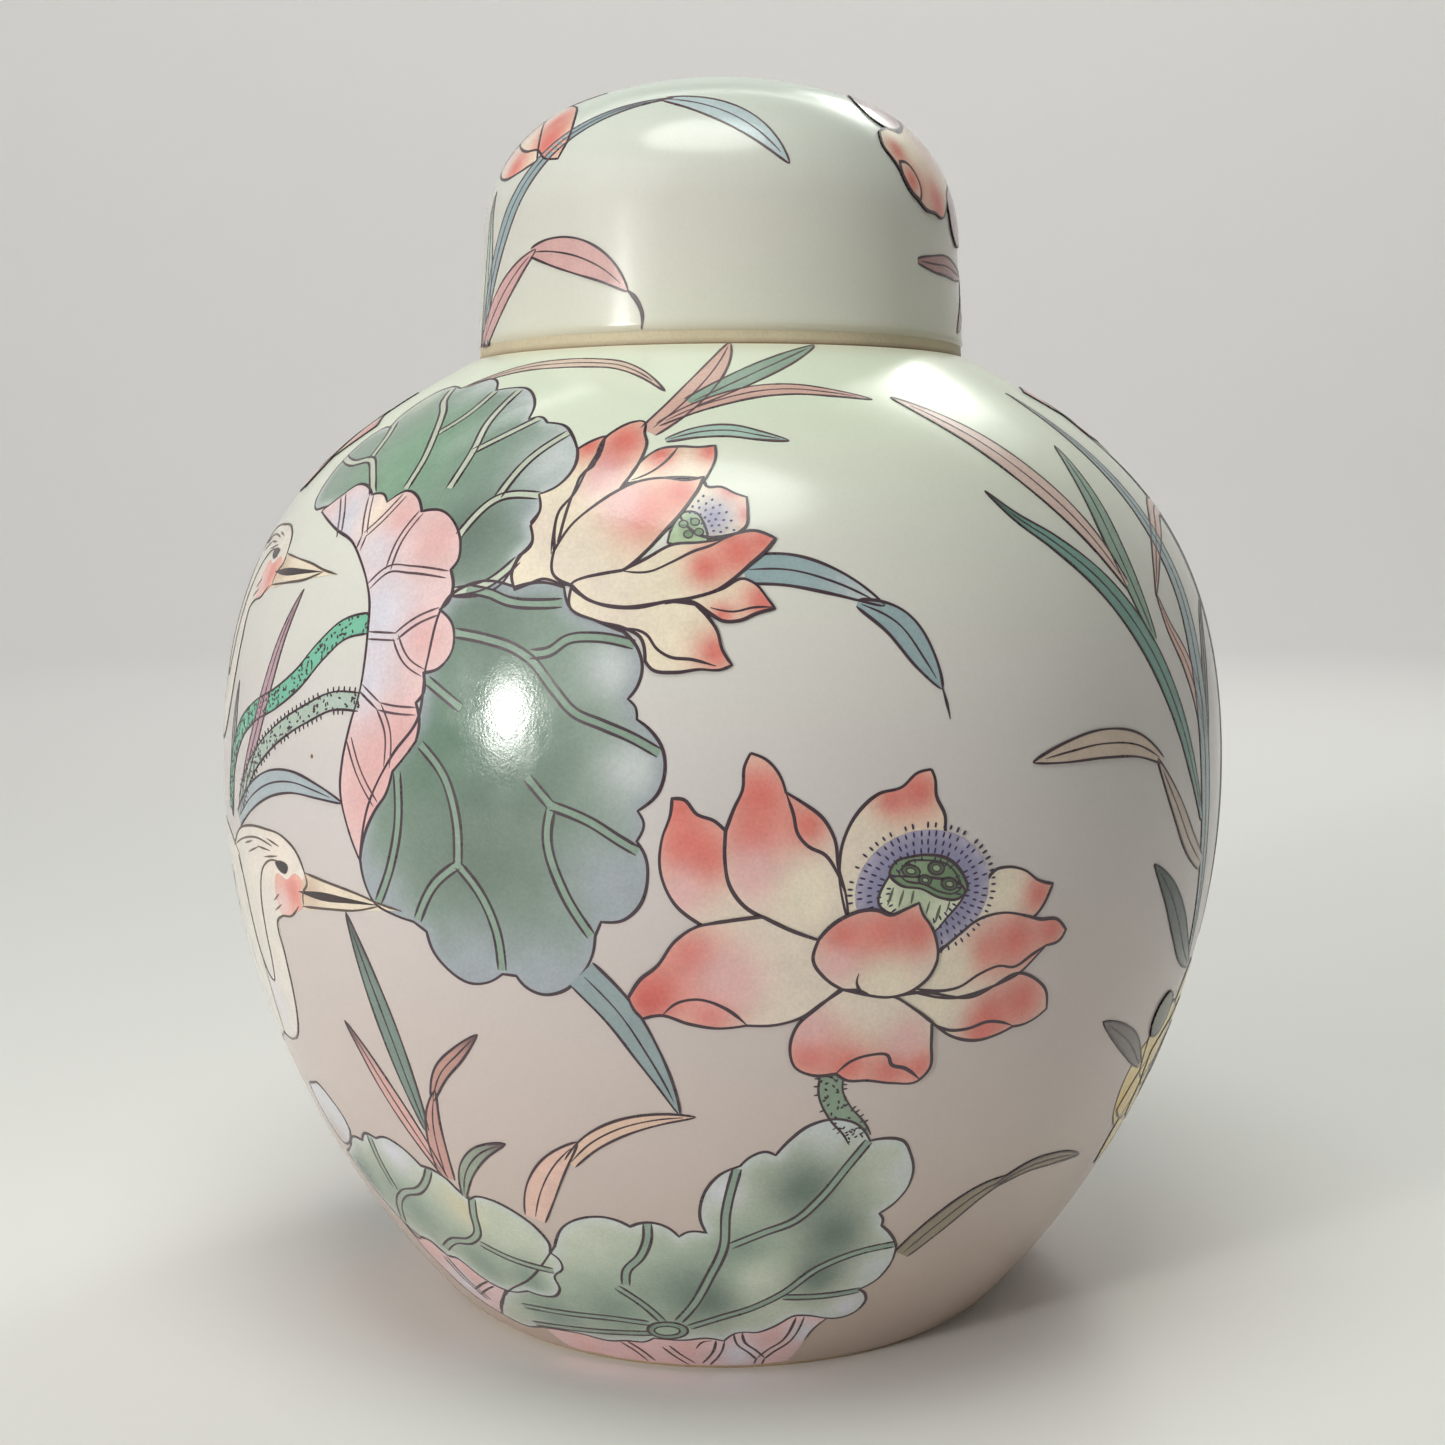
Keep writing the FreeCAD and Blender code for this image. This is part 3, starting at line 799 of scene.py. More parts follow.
def open_lotus():
    """The open lotus in the middle of the jar, with its ring of stamens and seed head."""
    lotus = Motif("open_lotus", jar_side, 7)
    lotus.stalk("19.5,80 19.4,76 21.6,71.5 24.6,68 26.2,65.4", 4.2, STALK, hairs=0.7, dots=1.2)
    lotus.wash("-3.5,107.4 -8,111 -10.4,117 -10,122 -8.6,126 -8.3,128.6 / -6.5,128.5 -4.2,126 -1.5,125"
               " 0.4,123.3 / 0.2,118 1,114 3.5,110.5 6,108.8 / 3,108 0,108.1", PETAL,
               [(CORAL, -6, 121, 7), (CORAL, -7, 127, 4), (CORAL, -3, 119, 5), (PINK, -7, 113, 4)])
    lotus.wash("35.4,132.4 33,132 30,129.7 26,128.8 22.5,126 19.8,121 19.2,116 20.4,109 / 30,106 38,116"
               " 37.8,121.5 37.8,124.5 36.2,128 36,131", CREAM,
               [(CORAL, 33, 129, 5), (CORAL, 28, 127.5, 3.5), (PETAL, 23, 119, 6)])
    lotus.wash("4.6,136 3.6,134 3.2,130 1.8,127 0.4,123.3 / 0.3,119 1,114.5 3.5,110.8 6.4,108.9 / 10,107"
               " 13,105 15.8,104.6 / 20.6,108 20.4,111.8 19,117 18.4,121.5 16.5,125 13,127.8 10.3,129.5 /"
               " 9.5,132 7,135", PETAL,
               [(CORAL, 6, 129, 7), (CORAL, 5, 122, 6), (CORAL, 14, 124, 4), (PINK, 5, 116, 5),
                (CREAM, 14, 112, 5)])
    lotus.line("10.3,129.5 11.5,126 12.3,122.5 14,120.5 16.8,119 18.8,116 20.4,111.8", 0.62)
    lotus.wash("44,104 45.5,112 48,114.6 50,114.8 54,113.8 57,111.8 60.3,110.8 / 59.5,109 58.3,107"
               " 56.5,105.3 50,105.5", PETAL, [(CORAL, 57, 109.5, 4.5), (CREAM, 50, 111, 4)])
    lotus.wash("29.5,93.7 34,94 45,92 55,95.2 59,93.3 61.5,91 62.5,87.3 / 60,85.8 57,85 55,85 / 51,83.8"
               " 48,83.4 42,84.8 37.3,88.2 / 33,91.3", PETAL, [(CORAL, 56, 90, 7), (CORAL, 49, 88, 5),
                                                           (CORAL, 48, 84.5, 4), (CREAM, 38, 91, 4)])
    lotus.line("37.4,88 41,86.2 45,86 49,86.8 52,86.3 55,85.1", 0.62)
    lotus.wash("35,99 40,103 45,106.2 50,106.8 54.5,105.8 58,104.7 62,104.2 64.4,102 / 63.5,100.5"
               " 60,99.7 / 58,98 55,95.6 49,93.5 41,92.3 36,93.3 33,94.6 /", PETAL,
               [(CORAL, 53, 101.5, 7), (CORAL, 61, 102.5, 4), (CORAL, 46, 100, 4), (CREAM, 40, 98, 5)])
    lotus.line("33.4,94.8 38,93.9 42,94.2 46,96.2 50,97.2 53,96.6 57,98.4 60,99.8", 0.62)
    stamens(lotus, 34.2, 112.0, 13.2, 11.2, 5.5)
    lotus.wash("27.8,115 26.2,110 28,108.6 33,109.4 / 34,106.4 36,104.8 38.5,107 41.6,110.6 /",
               (222, 224, 200),
               [((176, 190, 160), 33, 112, 5)], line=0.5)
    lotus.open_lines("28.6,113 27.6,110", "30.4,112.4 29.6,109.6", "35.2,110.2 34.6,108",
                     "37.2,109.4 36.4,106.4",
                     "39,110 38.4,108", "32.2,112.2 31.8,110", width=0.55, ink=(96, 104, 84), taper=1.5)
    lotus.wash("27.8,115.4 29,117.4 31.5,118 35,118.1 38.2,117.3 41.2,114.4 42.2,111.6 40.6,110.2"
               " 37.2,110.6 33.6,112.4 29.6,113.4", POD, [((140, 160, 128), 33, 116, 3)], line=0.6)
    lotus.line("29.4,115.4 30.6,116.9 34.8,117.2 37.8,116.5 40.4,113.8 41,112 39.8,111.2 37.2,111.6"
               " 34,113.2 30.4,114.2 29.4,115.4", 0.4)
    for x, y, wide, high in ((31.6, 115.6, 1.7, 1.0), (36.2, 115.8, 1.5, 1.1), (34.2, 113.9, 1.2, 0.8),
                             (38.7, 112.9, 1.5, 1.0)):
        lotus.wash(bead(x, y, wide, high, -0.3), SEED, line=0.42)
        lotus.wash(bead(x, y, wide * 0.5, high * 0.5, -0.3), SEED_PALE, line=0.25)
    lotus.wash("20,95.8 16,92.5 12.5,89 11.5,85 12.5,81.5 16,79.7 20,79.8 / 22,78.4 26,78 31,77 36,76.9"
               " 38,79 37.7,84 37.3,88.2 / 33,91.5 29.5,93.7 25,94.3", PETAL,
               [(CORAL, 15, 84, 6), (CORAL, 22, 81, 5), (CORAL, 30, 79.5, 5), (CORAL, 36, 80, 4),
                (PINK, 33, 86, 4), (PINK, 15, 89, 4)])
    lotus.line("20,79.8 22.5,82 26,83 29.5,82.6 30.3,80.8 33,79.8 36.3,77.2", 0.7)
    lotus.wash("-16.3,94.6 -14,98 -11.5,100 -8,104.8 -5,107 0,108.1 6.4,108.9 / 11,106.5 15.8,104.6 /"
               " 15,101 17,98 20.4,95.6 / 17,93.5 13.5,91 9,89.7 3.8,89.7 / -1,89.2 -6,90 -11,91.5"
               " -14,90.8 / -15.5,92.5", PETAL,
               [(CORAL, -11, 96, 7), (CORAL, -5, 102, 6), (CORAL_DEEP, -13, 94, 4), (CORAL, -2, 92, 5),
                (PINK, 1, 98, 6)], edge=None)
    lotus.line("-10.5,91.6 -8,93.8 -4.5,94.5 0,93 3.8,89.9", 0.62)
    lotus.wash("15.8,104.6 18,107 20.5,108.5 23,109.3 26,109.2 28,108.3 31,109.2 33.2,110 / 34,108"
               " 35.5,106 36.8,103 37.2,100 36,97 33,94.6 29,93.7 25,94.3 / 23.4,95.3 20,95.8 17,98"
               " 15,101", PETAL, [(CORAL, 27, 105, 6), (CORAL, 20, 105, 5), (CORAL, 33, 105, 5),
                                  (CREAM, 28, 96, 5), (PINK, 19, 100, 3)])
    lotus.line("23,98.4 22.7,96.6 23.4,95.3 25,94.4", 0.62)
    lotus.finish()


def stamens(motif, x, y, wide, high, inner):
    """A lavender cushion of stamens with rows of dark dashes that stand out from its middle."""
    motif.wash(bead(x, y, wide * 0.93, high * 0.93, 0, 40), STAMEN, edge=((186, 178, 196), 1.6), line=0)
    for row in range(5):
        share = inner / wide + (1 - inner / wide) * (row + 0.6) / 4.6
        count = 34 + 6 * row
        for k in range(count):
            if motif.rng.random() < 0.12:
                continue
            a = 2 * math.pi * (k + 0.5 * (row % 2) + 0.2 * motif.rng.random()) / count
            spot = np.array([x + wide * share * math.cos(a), y + high * share * math.sin(a)])
            motif.dash(spot, a, 0.75 + 0.3 * motif.rng.random(), 0.36, (62, 50, 84))

def shoulder_reeds():
    """The fan of reed leaves on the shoulder under the lid, and the curved pink leaf beside it."""
    reeds = Motif("shoulder_reeds", jar_side, 11)
    reeds.blade("-90,213.6 -80,218 -70,220.4 -58,221.2 -45,221 -33,219.4 -24,215.6 -15.2,209", 3.6,
                (218, 196, 180), ink=SOFT_INK)
    reeds.blade("-17,196.5 -12,202 -5,212 0,221 3.6,229", 5.4, REED_PINK, ink=SOFT_INK, base=0.2)
    reeds.blade("-8,205 2,211 12,216.6 24,222.6 36,228", 5.0, REED_GREEN, ink=SOFT_INK, base=0.2)
    reeds.blade("-15,198.4 -8,202.6 0,206 10,208.8 20,209.6 31,208.4 41.5,206.4", 3.8, REED_PINK,
                ink=SOFT_INK)
    reeds.blade("-12.5,194 -5,196.2 2,196.6 9,195.2 15.4,193.8", 3.2, (170, 196, 184), ink=SOFT_INK)
    reeds.finish()


def tall_reeds():
    """The reed clump on the right, which leans out from one root near the belly."""
    reeds = Motif("tall_reeds", jar_side, 13)
    reeds.blade("135,88 134,110 138,140 136,170 130,200", 6, REED_BLUE)
    reeds.blade("114,120 115,132 119,145 126,154 134,157.5", 3.6, REED_DARK)
    reeds.blade("113,130 110,140 106,147 101,154 99.4,160", 4.6, REED_PINK, base=0.3)
    reeds.blade("139,178.4 127,177.4 117,173.4 107,167.4 99,159.5", 4.4, REED_PINK, base=0.3)
    reeds.blade("119,86 117,98 114.4,114 113,130 112.6,146 113.4,160 111.6,174 108,190 102,211", 6.4,
                REED_BLUE)
    reeds.blade("93.6,151.5 91,160 89.6,170 90.6,181 92.8,193.4", 5.6, REED_GREEN)
    reeds.blade("111,116 106,124.6 98,139 90,151.5 80,163 70,171 62,176.6 57.4,181.8", 5.0,
                TEAL, tip=REED_DARK)
    reeds.blade("88.4,162 81,174 73,184.4 63,195.6 54,202.8 47.6,207.2", 6.0, (216, 190, 180),
                tip=REED_PINK)
    reeds.blade("113,107 104.6,112.4 97,120.6 89.4,130", 4.6, (190, 172, 160), base=0.2)
    reeds.blade("91.4,129.4 83,133 73,134.2 63,133.4 55.6,132.3", 5.0, (206, 188, 172))
    reeds.blade("121,84.5 112,89.6 104,97 97,104 89.4,110.4", 6.0, (52, 64, 60), ink=(30, 26, 28))
    reeds.blade("106,66 102,68.6 95,73.4 88,77.4 80.6,81.2", 4.6, (112, 100, 96))
    reeds.finish()


def moved(text, dx, dy):
    """The same outline text with every place moved across and up."""
    shifted = []
    for part in text.split():
        if part != "/":
            x, y = part.split(",")
            part = f"{float(x) + dx},{float(y) + dy}"
        shifted.append(part)
    return " ".join(shifted)


def heron_head(name, move, seed):
    """A wading bird's head and looped neck, drawn in fine lines with a coral cheek."""
    bird = Motif(name, jar_side, seed)
    dx, dy = move

    def at(text):
        return moved(text, dx, dy)

    bird.wash(at("-122,110 -116,114 -108,116 -100,116.5 -92,116 -87,113.5 -85,110.3 / -84,107 -86.6,104"
                 " / -91.6,101.4 -96,100.4 -98.5,98.6 / -98.5,92 -99,85 -101,79 -105,74 -111,71.5"
                 " -118,71.3 / -128,74 -130,90 -128,104"), (228, 221, 210),
              [((222, 216, 218), -112, 80, 8), ((238, 226, 214), -95, 112, 8)], line=0)
    bird.wash(at("-96,108.6 -92,108 -88.6,109.6 -86,108.6 -85.2,106.4 -87,103.6 -91,101.6 -96,100.6"
                 " -97.6,104"), (236, 178, 164), [((224, 140, 130), -90 + dx, 106 + dy, 3.0),
                                             (BLUSH, -95 + dx, 103 + dy, 3)], line=0)
    bird.wash(at("-85,110.3 -78,109.5 -70,108.5 -64,107.3 -60,106.6 / -70,105.4 -78,104.5 -87,103.7 /"),
              (232, 218, 196), [((206, 180, 160), -84 + dx, 107 + dy, 4)], line=0)
    bird.wash(at("-88,106.4 -80,107.4 -72,107.3 -64,107 / -72,106.4 -80,105.8 /"), (60, 48, 50), line=0)
    bird.open_lines(at("-122,110 -116,114 -108,116 -100,116.5 -92,116 -87,113.5 -85,110.3"),
                    at("-85,110.3 -78,109.5 -70,108.5 -64,107.3 -59,106.6"),
                    at("-87,103.7 -78,104.5 -70,105.4 -64,107"),
                    at("-88.4,103.5 -92,101 -96,100.3 -98.6,99 -98.5,92 -99,85 -101,79 -105,74 -111,71.5"
                       " -119,71.3"),
                    at("-119,108.5 -116.5,104 -115.5,96 -114.5,89 -112,85 -109.5,84.5 -107.5,88 -106.5,96"
                       " -105.5,103 -102.5,108.5 -98,110.8 -94,111"),
                    at("-85,110.3 -84.4,108.4 -86.2,106.4 -86.6,104"), width=0.5, ink=(92, 76, 70))
    bird.open_lines(at("-120,110.6 -112,113 -104,114.2 -97,113.6"), at("-112,112 -107,113.2"),
                    at("-110,110.6 -104,112.4"), at("-104,112.6 -98,112.6"), at("-101,111 -95,112"),
                    at("-99,114.8 -94,114"), at("-98.6,103 -96,104.6"), at("-98.8,101 -95.6,102.6"),
                    width=0.4, ink=(104, 88, 80), taper=3)
    bird.wash(at("-96,110.6 -93.4,111.2 -91,110.6 -91.6,109.4 -94,109.2"), (52, 44, 48), line=0.25)
    bird.finish()


def left_stalks():
    """The dotted and hairy stalks, and the leaves among them, between the birds and the tall leaf."""
    plants = Motif("left_stalks", jar_side, 17)
    plants.blade("-121,116 -119.4,128 -118,143", 3.4, (150, 158, 156), ink=SOFT_INK)
    plants.stalk("-69.4,156.4 -76,155 -82,150.8 -88,145.6 -96,141.3 -105,138.2 -113,134 -119,127 -122,117",
                 3.8, EMERALD, hairs=0, dots=1.1)
    plants.blade("-115,117 -109,126 -104,134.4 -100,144 -97,153 -93.4,162", 3.8, MAUVE, ink=SOFT_INK)
    plants.stalk("-69,142.4 -76,142.2 -84,139.4 -92,136 -100,131.6 -107,126.4 -113,119.6", 3.2,
                 (176, 192, 180), hairs=0.8, dots=1.2)
    plants.blade("-115,116.4 -110,119.6 -104,122.8 -96,125.6 -88,126.6 -80,125.8 -72.4,124.4", 4.8,
                 (170, 182, 186), base=0.2)
    plants.finish()


def low_reeds():
    """The small reed clump between the two low leaves, and the pale twisted leaf beside it."""
    reeds = Motif("low_reeds", jar_side, 19)
    reeds.blade("-64.4,62 -65.4,72 -67.4,84 -70,94 -73.4,104.6", 4.6, (122, 140, 132), tip=REED_DARK)
    reeds.blade("-64,51 -68.4,61 -73.4,71 -76.6,77 -80.2,82.4", 4.0, (214, 170, 164), tip=SOFT_INK)
    reeds.blade("-63.6,51 -63,58 -61.6,65 -58.6,72", 4.2, (198, 152, 144), base=0.3)
    reeds.blade("-60,69.6 -56,76 -51,80.6 -45.8,85.2", 3.0, (190, 148, 138), tip=SOFT_INK)
    reeds.blade("-60.6,47 -57,54 -52,59 -44.6,62.6", 3.2, (150, 160, 144), tip=SOFT_INK)
    reeds.blade("-42.6,45 -39,52.6 -35,58.6 -28.6,65", 5.6, (222, 186, 172), base=0.22)
    reeds.blade("-31,60 -26,65 -20,68.6 -12,71 -5.4,71.6", 3.4, (222, 190, 170), base=0.2)
    reeds.blade("-24.4,98.4 -18,91.4 -13.6,84 -10.6,78 -8.2,72", 6.0, (146, 162, 164), base=0.45)
    reeds.blade("42.4,35 50,42.2 58,47.8 66.6,50.4", 5.2, (148, 138, 118), base=0.22)
    reeds.blade("62,48.6 71,51.2 81,50.9 92.4,48.6", 2.8, (140, 128, 108))
    reeds.finish()


def low_middle_leaf():
    """The wide lotus leaf over the foot, with its hub, its veins and its pink turned-up underside."""
    leaf = Motif("low_middle_leaf", jar_side, 23)
    leaf.wash("-58,7 -48,9.6 -36,9 -22,12 -8,14 4,15 18,19.4 28,17.4 / 25,14 23.4,10 / 22,5 20,1 / -40,0.6"
              " -56,3", (226, 190, 190), [(PINK, -45, 4, 6), (PINK, 12, 11, 4), (PINK, -12, 7, 5),
                                          (SHELL, 4, 5, 6), (PINK, -28, 5, 4), (SHELL, 22, 13, 4)],
              line=0)
    leaf.line("28,17.4 25,14 23.2,9.6", 0.6)
    leaf.veins("3.4,14 4.4,10 8,6.4 11,3", "20,18.6 17.4,9.6 13.4,6 11,3", "11,3 10.4,0.6",
               "-1.6,11 -2.4,7 -6.4,0.8", "-18,8 -15,4.4 -11,0.8", "-31,8.4 -26.8,4.4 -24.4,0.8", gap=1.6)
    leaf.line("-8.8,7.8 -6.4,10.6 -4,11", 0.5)
    leaf.wash("-40,38 -36,44 -31,46.8 -26,47.6 -22.5,46.8 -20.5,45.7 / -18,46.8 -15,47 -12,45.8"
              " -10,43.7 / -8,45 -6,45.2 -4,44.8 / -5.2,48.4 -5,52 -3.5,56 -1,59 3,61 / 5,63 8,64"
              " 9.8,63.2 / 12,66 16,69.3 21,70.3 25,69 28.3,65 / 31,65.2 35.5,64 37.5,61 39,57 38.7,53"
              " 36.5,49.5 33.5,47.3 / 34.8,45.4 34.8,44 / 37.5,41.5 39.6,38.8 40.3,37.5 / 40.5,33"
              " 38.5,28.5 34,25.8 / 36,24.5 37.4,21.5 36,18.5 31,16.8 27,17.5 22,19 18,19.2 15.5,17.5 /"
              " 12.5,15.5 8.5,14 5,14.3 3,14 -0.5,11 / -5,12 -12,11 -21,11 / -24,9.2 -30,8.8 -35,7.8"
              " -45,8.6 -60,7.4 / -68,5.4 -77,7 / -70,14 -62,20 -52,26", LEAF_PALE,
              [(LEAF, -50, 14, 14), (LEAF, -10, 28, 14), (LEAF, -30, 20, 12), (LEAF_DARK, -4, 26, 8),
               (LEAF_DARK, 16, 55, 10), (LEAF_DARK, 24, 43, 9), (LEAF_DARK, 22, 32, 8), (LEAF, 4, 40, 8),
               (LEAF_PALE, 8, 32, 6), (MIST, 20, 68, 5), (MIST, 37, 57, 4), (MIST, 37, 32, 5),
               (SHELL, 33, 20, 5), (SHELL, 0, 55, 3.6)], edge=(MIST, 1.8))
    leaf.veins("-12.6,18 -8,24 -4,32 -0.4,41 0.2,50 2.4,60.4",
               "1.2,41.4 8,44.6 15,47.6 20,53 24.6,60 28,65",
               "-17,17.6 -20.6,22.4 -27,28", "-24.4,29 -23.5,33 -19.2,38 -17,43 -16.6,46.8",
               "-10,16 -2,19.4 8,23.4 14,27 22,34 30,37.2 39.8,38.2", "14.4,25.9 25,25.2 34.4,25.6",
               "-21,16.6 -30,17 -45,16.2 -61,15", "-21,12.9 -35,11.4 -50,9.8 -62,8.2",
               colour=(140, 160, 146))
    leaf.wash(bead(-16.2, 14.4, 5.8, 3.1, 0.12, 28), HUB, line=0.62)
    leaf.wash(bead(-16.4, 14.3, 3.7, 1.7, 0.12, 22), HUB_PALE, line=0.5)
    leaf.finish()


def low_left_leaf():
    """The low lotus leaf on the left, which overlaps the middle one, with pink lobes under it."""
    leaf = Motif("low_left_leaf", jar_side, 29)
    leaf.wash("-114,58 -113,60.5 -109,62 -105,63 -100,60.6 -97,57 -97,54 / -100,51 -110,48 /",
              (206, 206, 212), [((190, 176, 170), -108, 50, 5)])
    leaf.wash("-98,31 -95,26 -90,28 -86,27.6 / -82,25 -77,25.6 -72,22 -68,20 -64,19.4 / -70,13.6 -77,7 /"
              " -86,10 -95,20", (222, 192, 194),
              [(PINK, -77, 21, 4.4), (PINK, -90, 25, 5), (SHELL, -84, 16, 5)])
    leaf.veins("-84,24 -82,18 -77,12", "-80,14 -74,17.4 -69,20", gap=1.5)
    leaf.wash("-110,45 -102,49 -97,52.5 -92,53 / -89,55.5 -84.5,55.5 / -80,56.8 -75,55.5 -71,52.3 /"
              " -67,52 -64.5,51 -62,48.5 -59.5,46.5 / -57,47.8 -53,47.8 -48,46 -43,42 -41.3,38 -42,36 /"
              " -40,34 -40.2,31.5 -42,30 / -43.5,28.5 -43.5,25 -46,22 -50,21 -55,21.5 / -62,19.5 -68,20 /"
              " -72,22 -77,25.5 -82,25 / -86,28 -92,27.5 -97,30 / -106,38", LEAF_PALE,
              [(LEAF, -84, 38, 12), (LEAF, -66, 28, 10), (LEAF, -100, 42, 9), (LEAF_DARK, -104, 42, 5),
               (SHELL, -79, 54, 5), ((206, 200, 170), -62, 44, 6), (LEAF_PALE, -50, 38, 8),
               (LEAF, -52, 26, 7)], edge=(MIST, 1.6))
    leaf.veins("-96,31 -90,38 -84,42 -76,45 -71,49 -68.6,52", "-87.6,42 -88,50 -87.2,55.2",
               "-80,27.8 -73,32 -66,34 -62,37 -60,43 -58.4,47.2", "-63,34 -55,31.6 -43,30.4",
               colour=(150, 166, 150))
    leaf.finish()


def lower_right_flower():
    """The ochre lotus low on the right, most of it round the side, with its dark seed head."""
    flower = Motif("ochre_lotus", jar_side, 31)
    flower.wash("100,64 102,57 108,51.5 115,49 122,52 125,60 121,68 112,71.5 104,70.5", (238, 212, 142),
                [(OCHRE, 104, 58, 6), (OCHRE, 112, 51, 5)], line=0.5)
    lotus_bloom(flower, 130, 61, 28, 24, OCHRE, YELLOW, 8, 0.12, 0.06)
    flower.wash(bead(109.5, 76.4, 5.2, 4.6, 0.2, 24), (96, 96, 68), [((60, 58, 44), 108, 74, 3)], line=0.6)
    flower.finish()


def lotus_bloom(motif, x, y, wide, high, tip, heart, petals, turn, lift):
    """An open lotus: a back ring and a front ring of broad pointed petals round a seed head."""
    motif.lift = lift
    middle = tuple((2 * a + b) / 3 for a, b in zip(heart, tip))
    for ring, (reach, count) in enumerate(((1.0, petals), (0.64, petals - 2))):
        for k in range(count):
            a = turn + 2 * math.pi * (k + 0.5 * ring) / count + 0.08 * math.sin(5 * k)
            ca, sa = math.cos(a), math.sin(a)
            length = reach * (1 + 0.1 * math.sin(3 * k + ring))
            half = 0.31 + 0.03 * math.cos(2 * k)

            def place(along, across):
                return (x + wide * (along * ca - across * sa), y + high * (along * sa + across * ca))

            left = [place(0.1, 0.02), place(0.3 * length, half * 0.8), place(0.62 * length, half),
                    place(0.88 * length, half * 0.5), place(length, 0.03)]
            right = [place(0.9 * length, -half * 0.36), place(0.66 * length, -half * 0.96),
                     place(0.34 * length, -half * 0.86), place(0.1, 0.02)]
            petal = np.vstack([curve(np.array(left))[:-1], curve(np.array([left[-1]] + right))[:-1]])
            motif.wash(petal, heart, [(middle, *place(0.7 * length, half * 0.4), wide * 0.2),
                                      (tip, *place(0.95 * length, 0), wide * 0.24 * reach)])
    stamens(motif, x, y, wide * 0.34, high * 0.34, wide * 0.15)
    motif.wash(bead(x, y, wide * 0.18, high * 0.18, 0.2, 24), POD, line=0.6)
    for k in range(5):
        a = 2 * math.pi * k / 5 + 0.3
        motif.wash(bead(x + wide * 0.1 * math.cos(a), y + high * 0.1 * math.sin(a), 1.1, 0.9),
                   SEED, line=0.35)


def lid_painting():
    """The reed leaves, the coral buds and the flowers that run over the lid."""
    lid = Motif("lid_front", lid_side, 37)
    lid.blade("-92,-30 -80,-28.6 -68,-26 -54,-21", 6.0, (176, 192, 182), ink=SOFT_INK, base=0.3)
    lid.blade("-86,-27 -72,-30.6 -52,-35.4 -32,-37.2 -9,-39.6", 4.0, REED_BLUE, ink=SOFT_INK, base=0.3)
    lid.blade("-11,-39.4 -3,-43.4 6,-48.6 15.6,-55.6", 5.4, (186, 202, 204), ink=SOFT_INK)
    lid.blade("-86,-27 -76,-36 -65,-43.4 -51,-50.8", 5.4, (206, 164, 162), ink=SOFT_INK, base=0.25)
    lid.blade("-53,-49.4 -46,-56.6 -39,-63.6 -33,-70 -27.8,-76.6", 6.4, (206, 166, 162))
    lid.line("-28,-76.2 -25.4,-79.6 -24.6,-82.4 -25.6,-84.8", 0.9)
    lid.blade("57,-47.4 62.4,-40 66.6,-32 70.4,-24 74,-12", 4.0, (168, 128, 126), ink=INK)
    lid.finish()
    buds = Motif("lid_buds", lid_side, 41)
    buds.wash("-50,-12 -51.4,-20 -50,-25.6 -46.4,-30.6 -41,-35 / -38,-24 -38,-12 /", CREAM,
              [(CORAL, -47, -27, 6), (BLUSH, -46, -15, 6)])
    buds.wash("-43.6,-12 -44,-20 -42.8,-27 -40,-32 -39,-37 -36,-40.8 / -32.6,-38.2 -30.4,-33 -29.4,-27"
              " -31,-18 -32,-10 /", CREAM,
              [(CORAL, -37, -33, 7), (CORAL, -34, -26, 5), (BLUSH, -38, -14, 7)])
    buds.wash("-32,-9 -31,-17 -27.6,-21 -23,-22 / -24,-14 -27,-6 /", CREAM, [(CORAL, -26, -19, 5)])
    buds.wash(bead(-40, -9.5, 9.5, 4.2, 0, 24), LEAF, [(LEAF_DARK, -36, -9, 4)])
    lotus_bloom(buds, 50, -7, 20, 17, CORAL, CREAM, 7, 0.3, buds.lift)
    buds.wash("52,-10 52,-17 56.6,-22 61.6,-22.6 65,-20 67,-12 /", (200, 176, 178), [(MAUVE, 60, -18, 5)])
    buds.wash("27,-14 27,-22 28.4,-27 31.6,-30.4 35.8,-29.6 38.4,-25 / 38,-16 34,-10 /", (222, 206, 206),
              [(MAUVE, 29, -26, 4), (MAUVE, 36, -20, 4)])
    buds.wash("38,-12 39,-22 38,-28 35.2,-31 34,-34 / 35.6,-37.6 39.5,-38.6 42,-39.2 46,-39.8 49,-38.6 /"
              " 52,-37 54.6,-33.4 57.6,-29 57,-25 55.4,-21 54,-12 /", CREAM,
              [(CORAL, 54, -30, 6), (CORAL, 46, -37, 4), (CORAL, 39, -35, 3), (BLUSH, 46, -18, 7)])
    buds.wash("40.4,-37.4 42,-35.4 45,-34.8 48.4,-36.4 49.2,-38.2 / 46,-39.8 42,-39.2 /", CREAM,
              [(CORAL, 45, -37.6, 3.4)], line=0.8)
    buds.finish()


OVER_REEDS = 0.22   # where a leaf or flower that crosses the reeds begins, mm


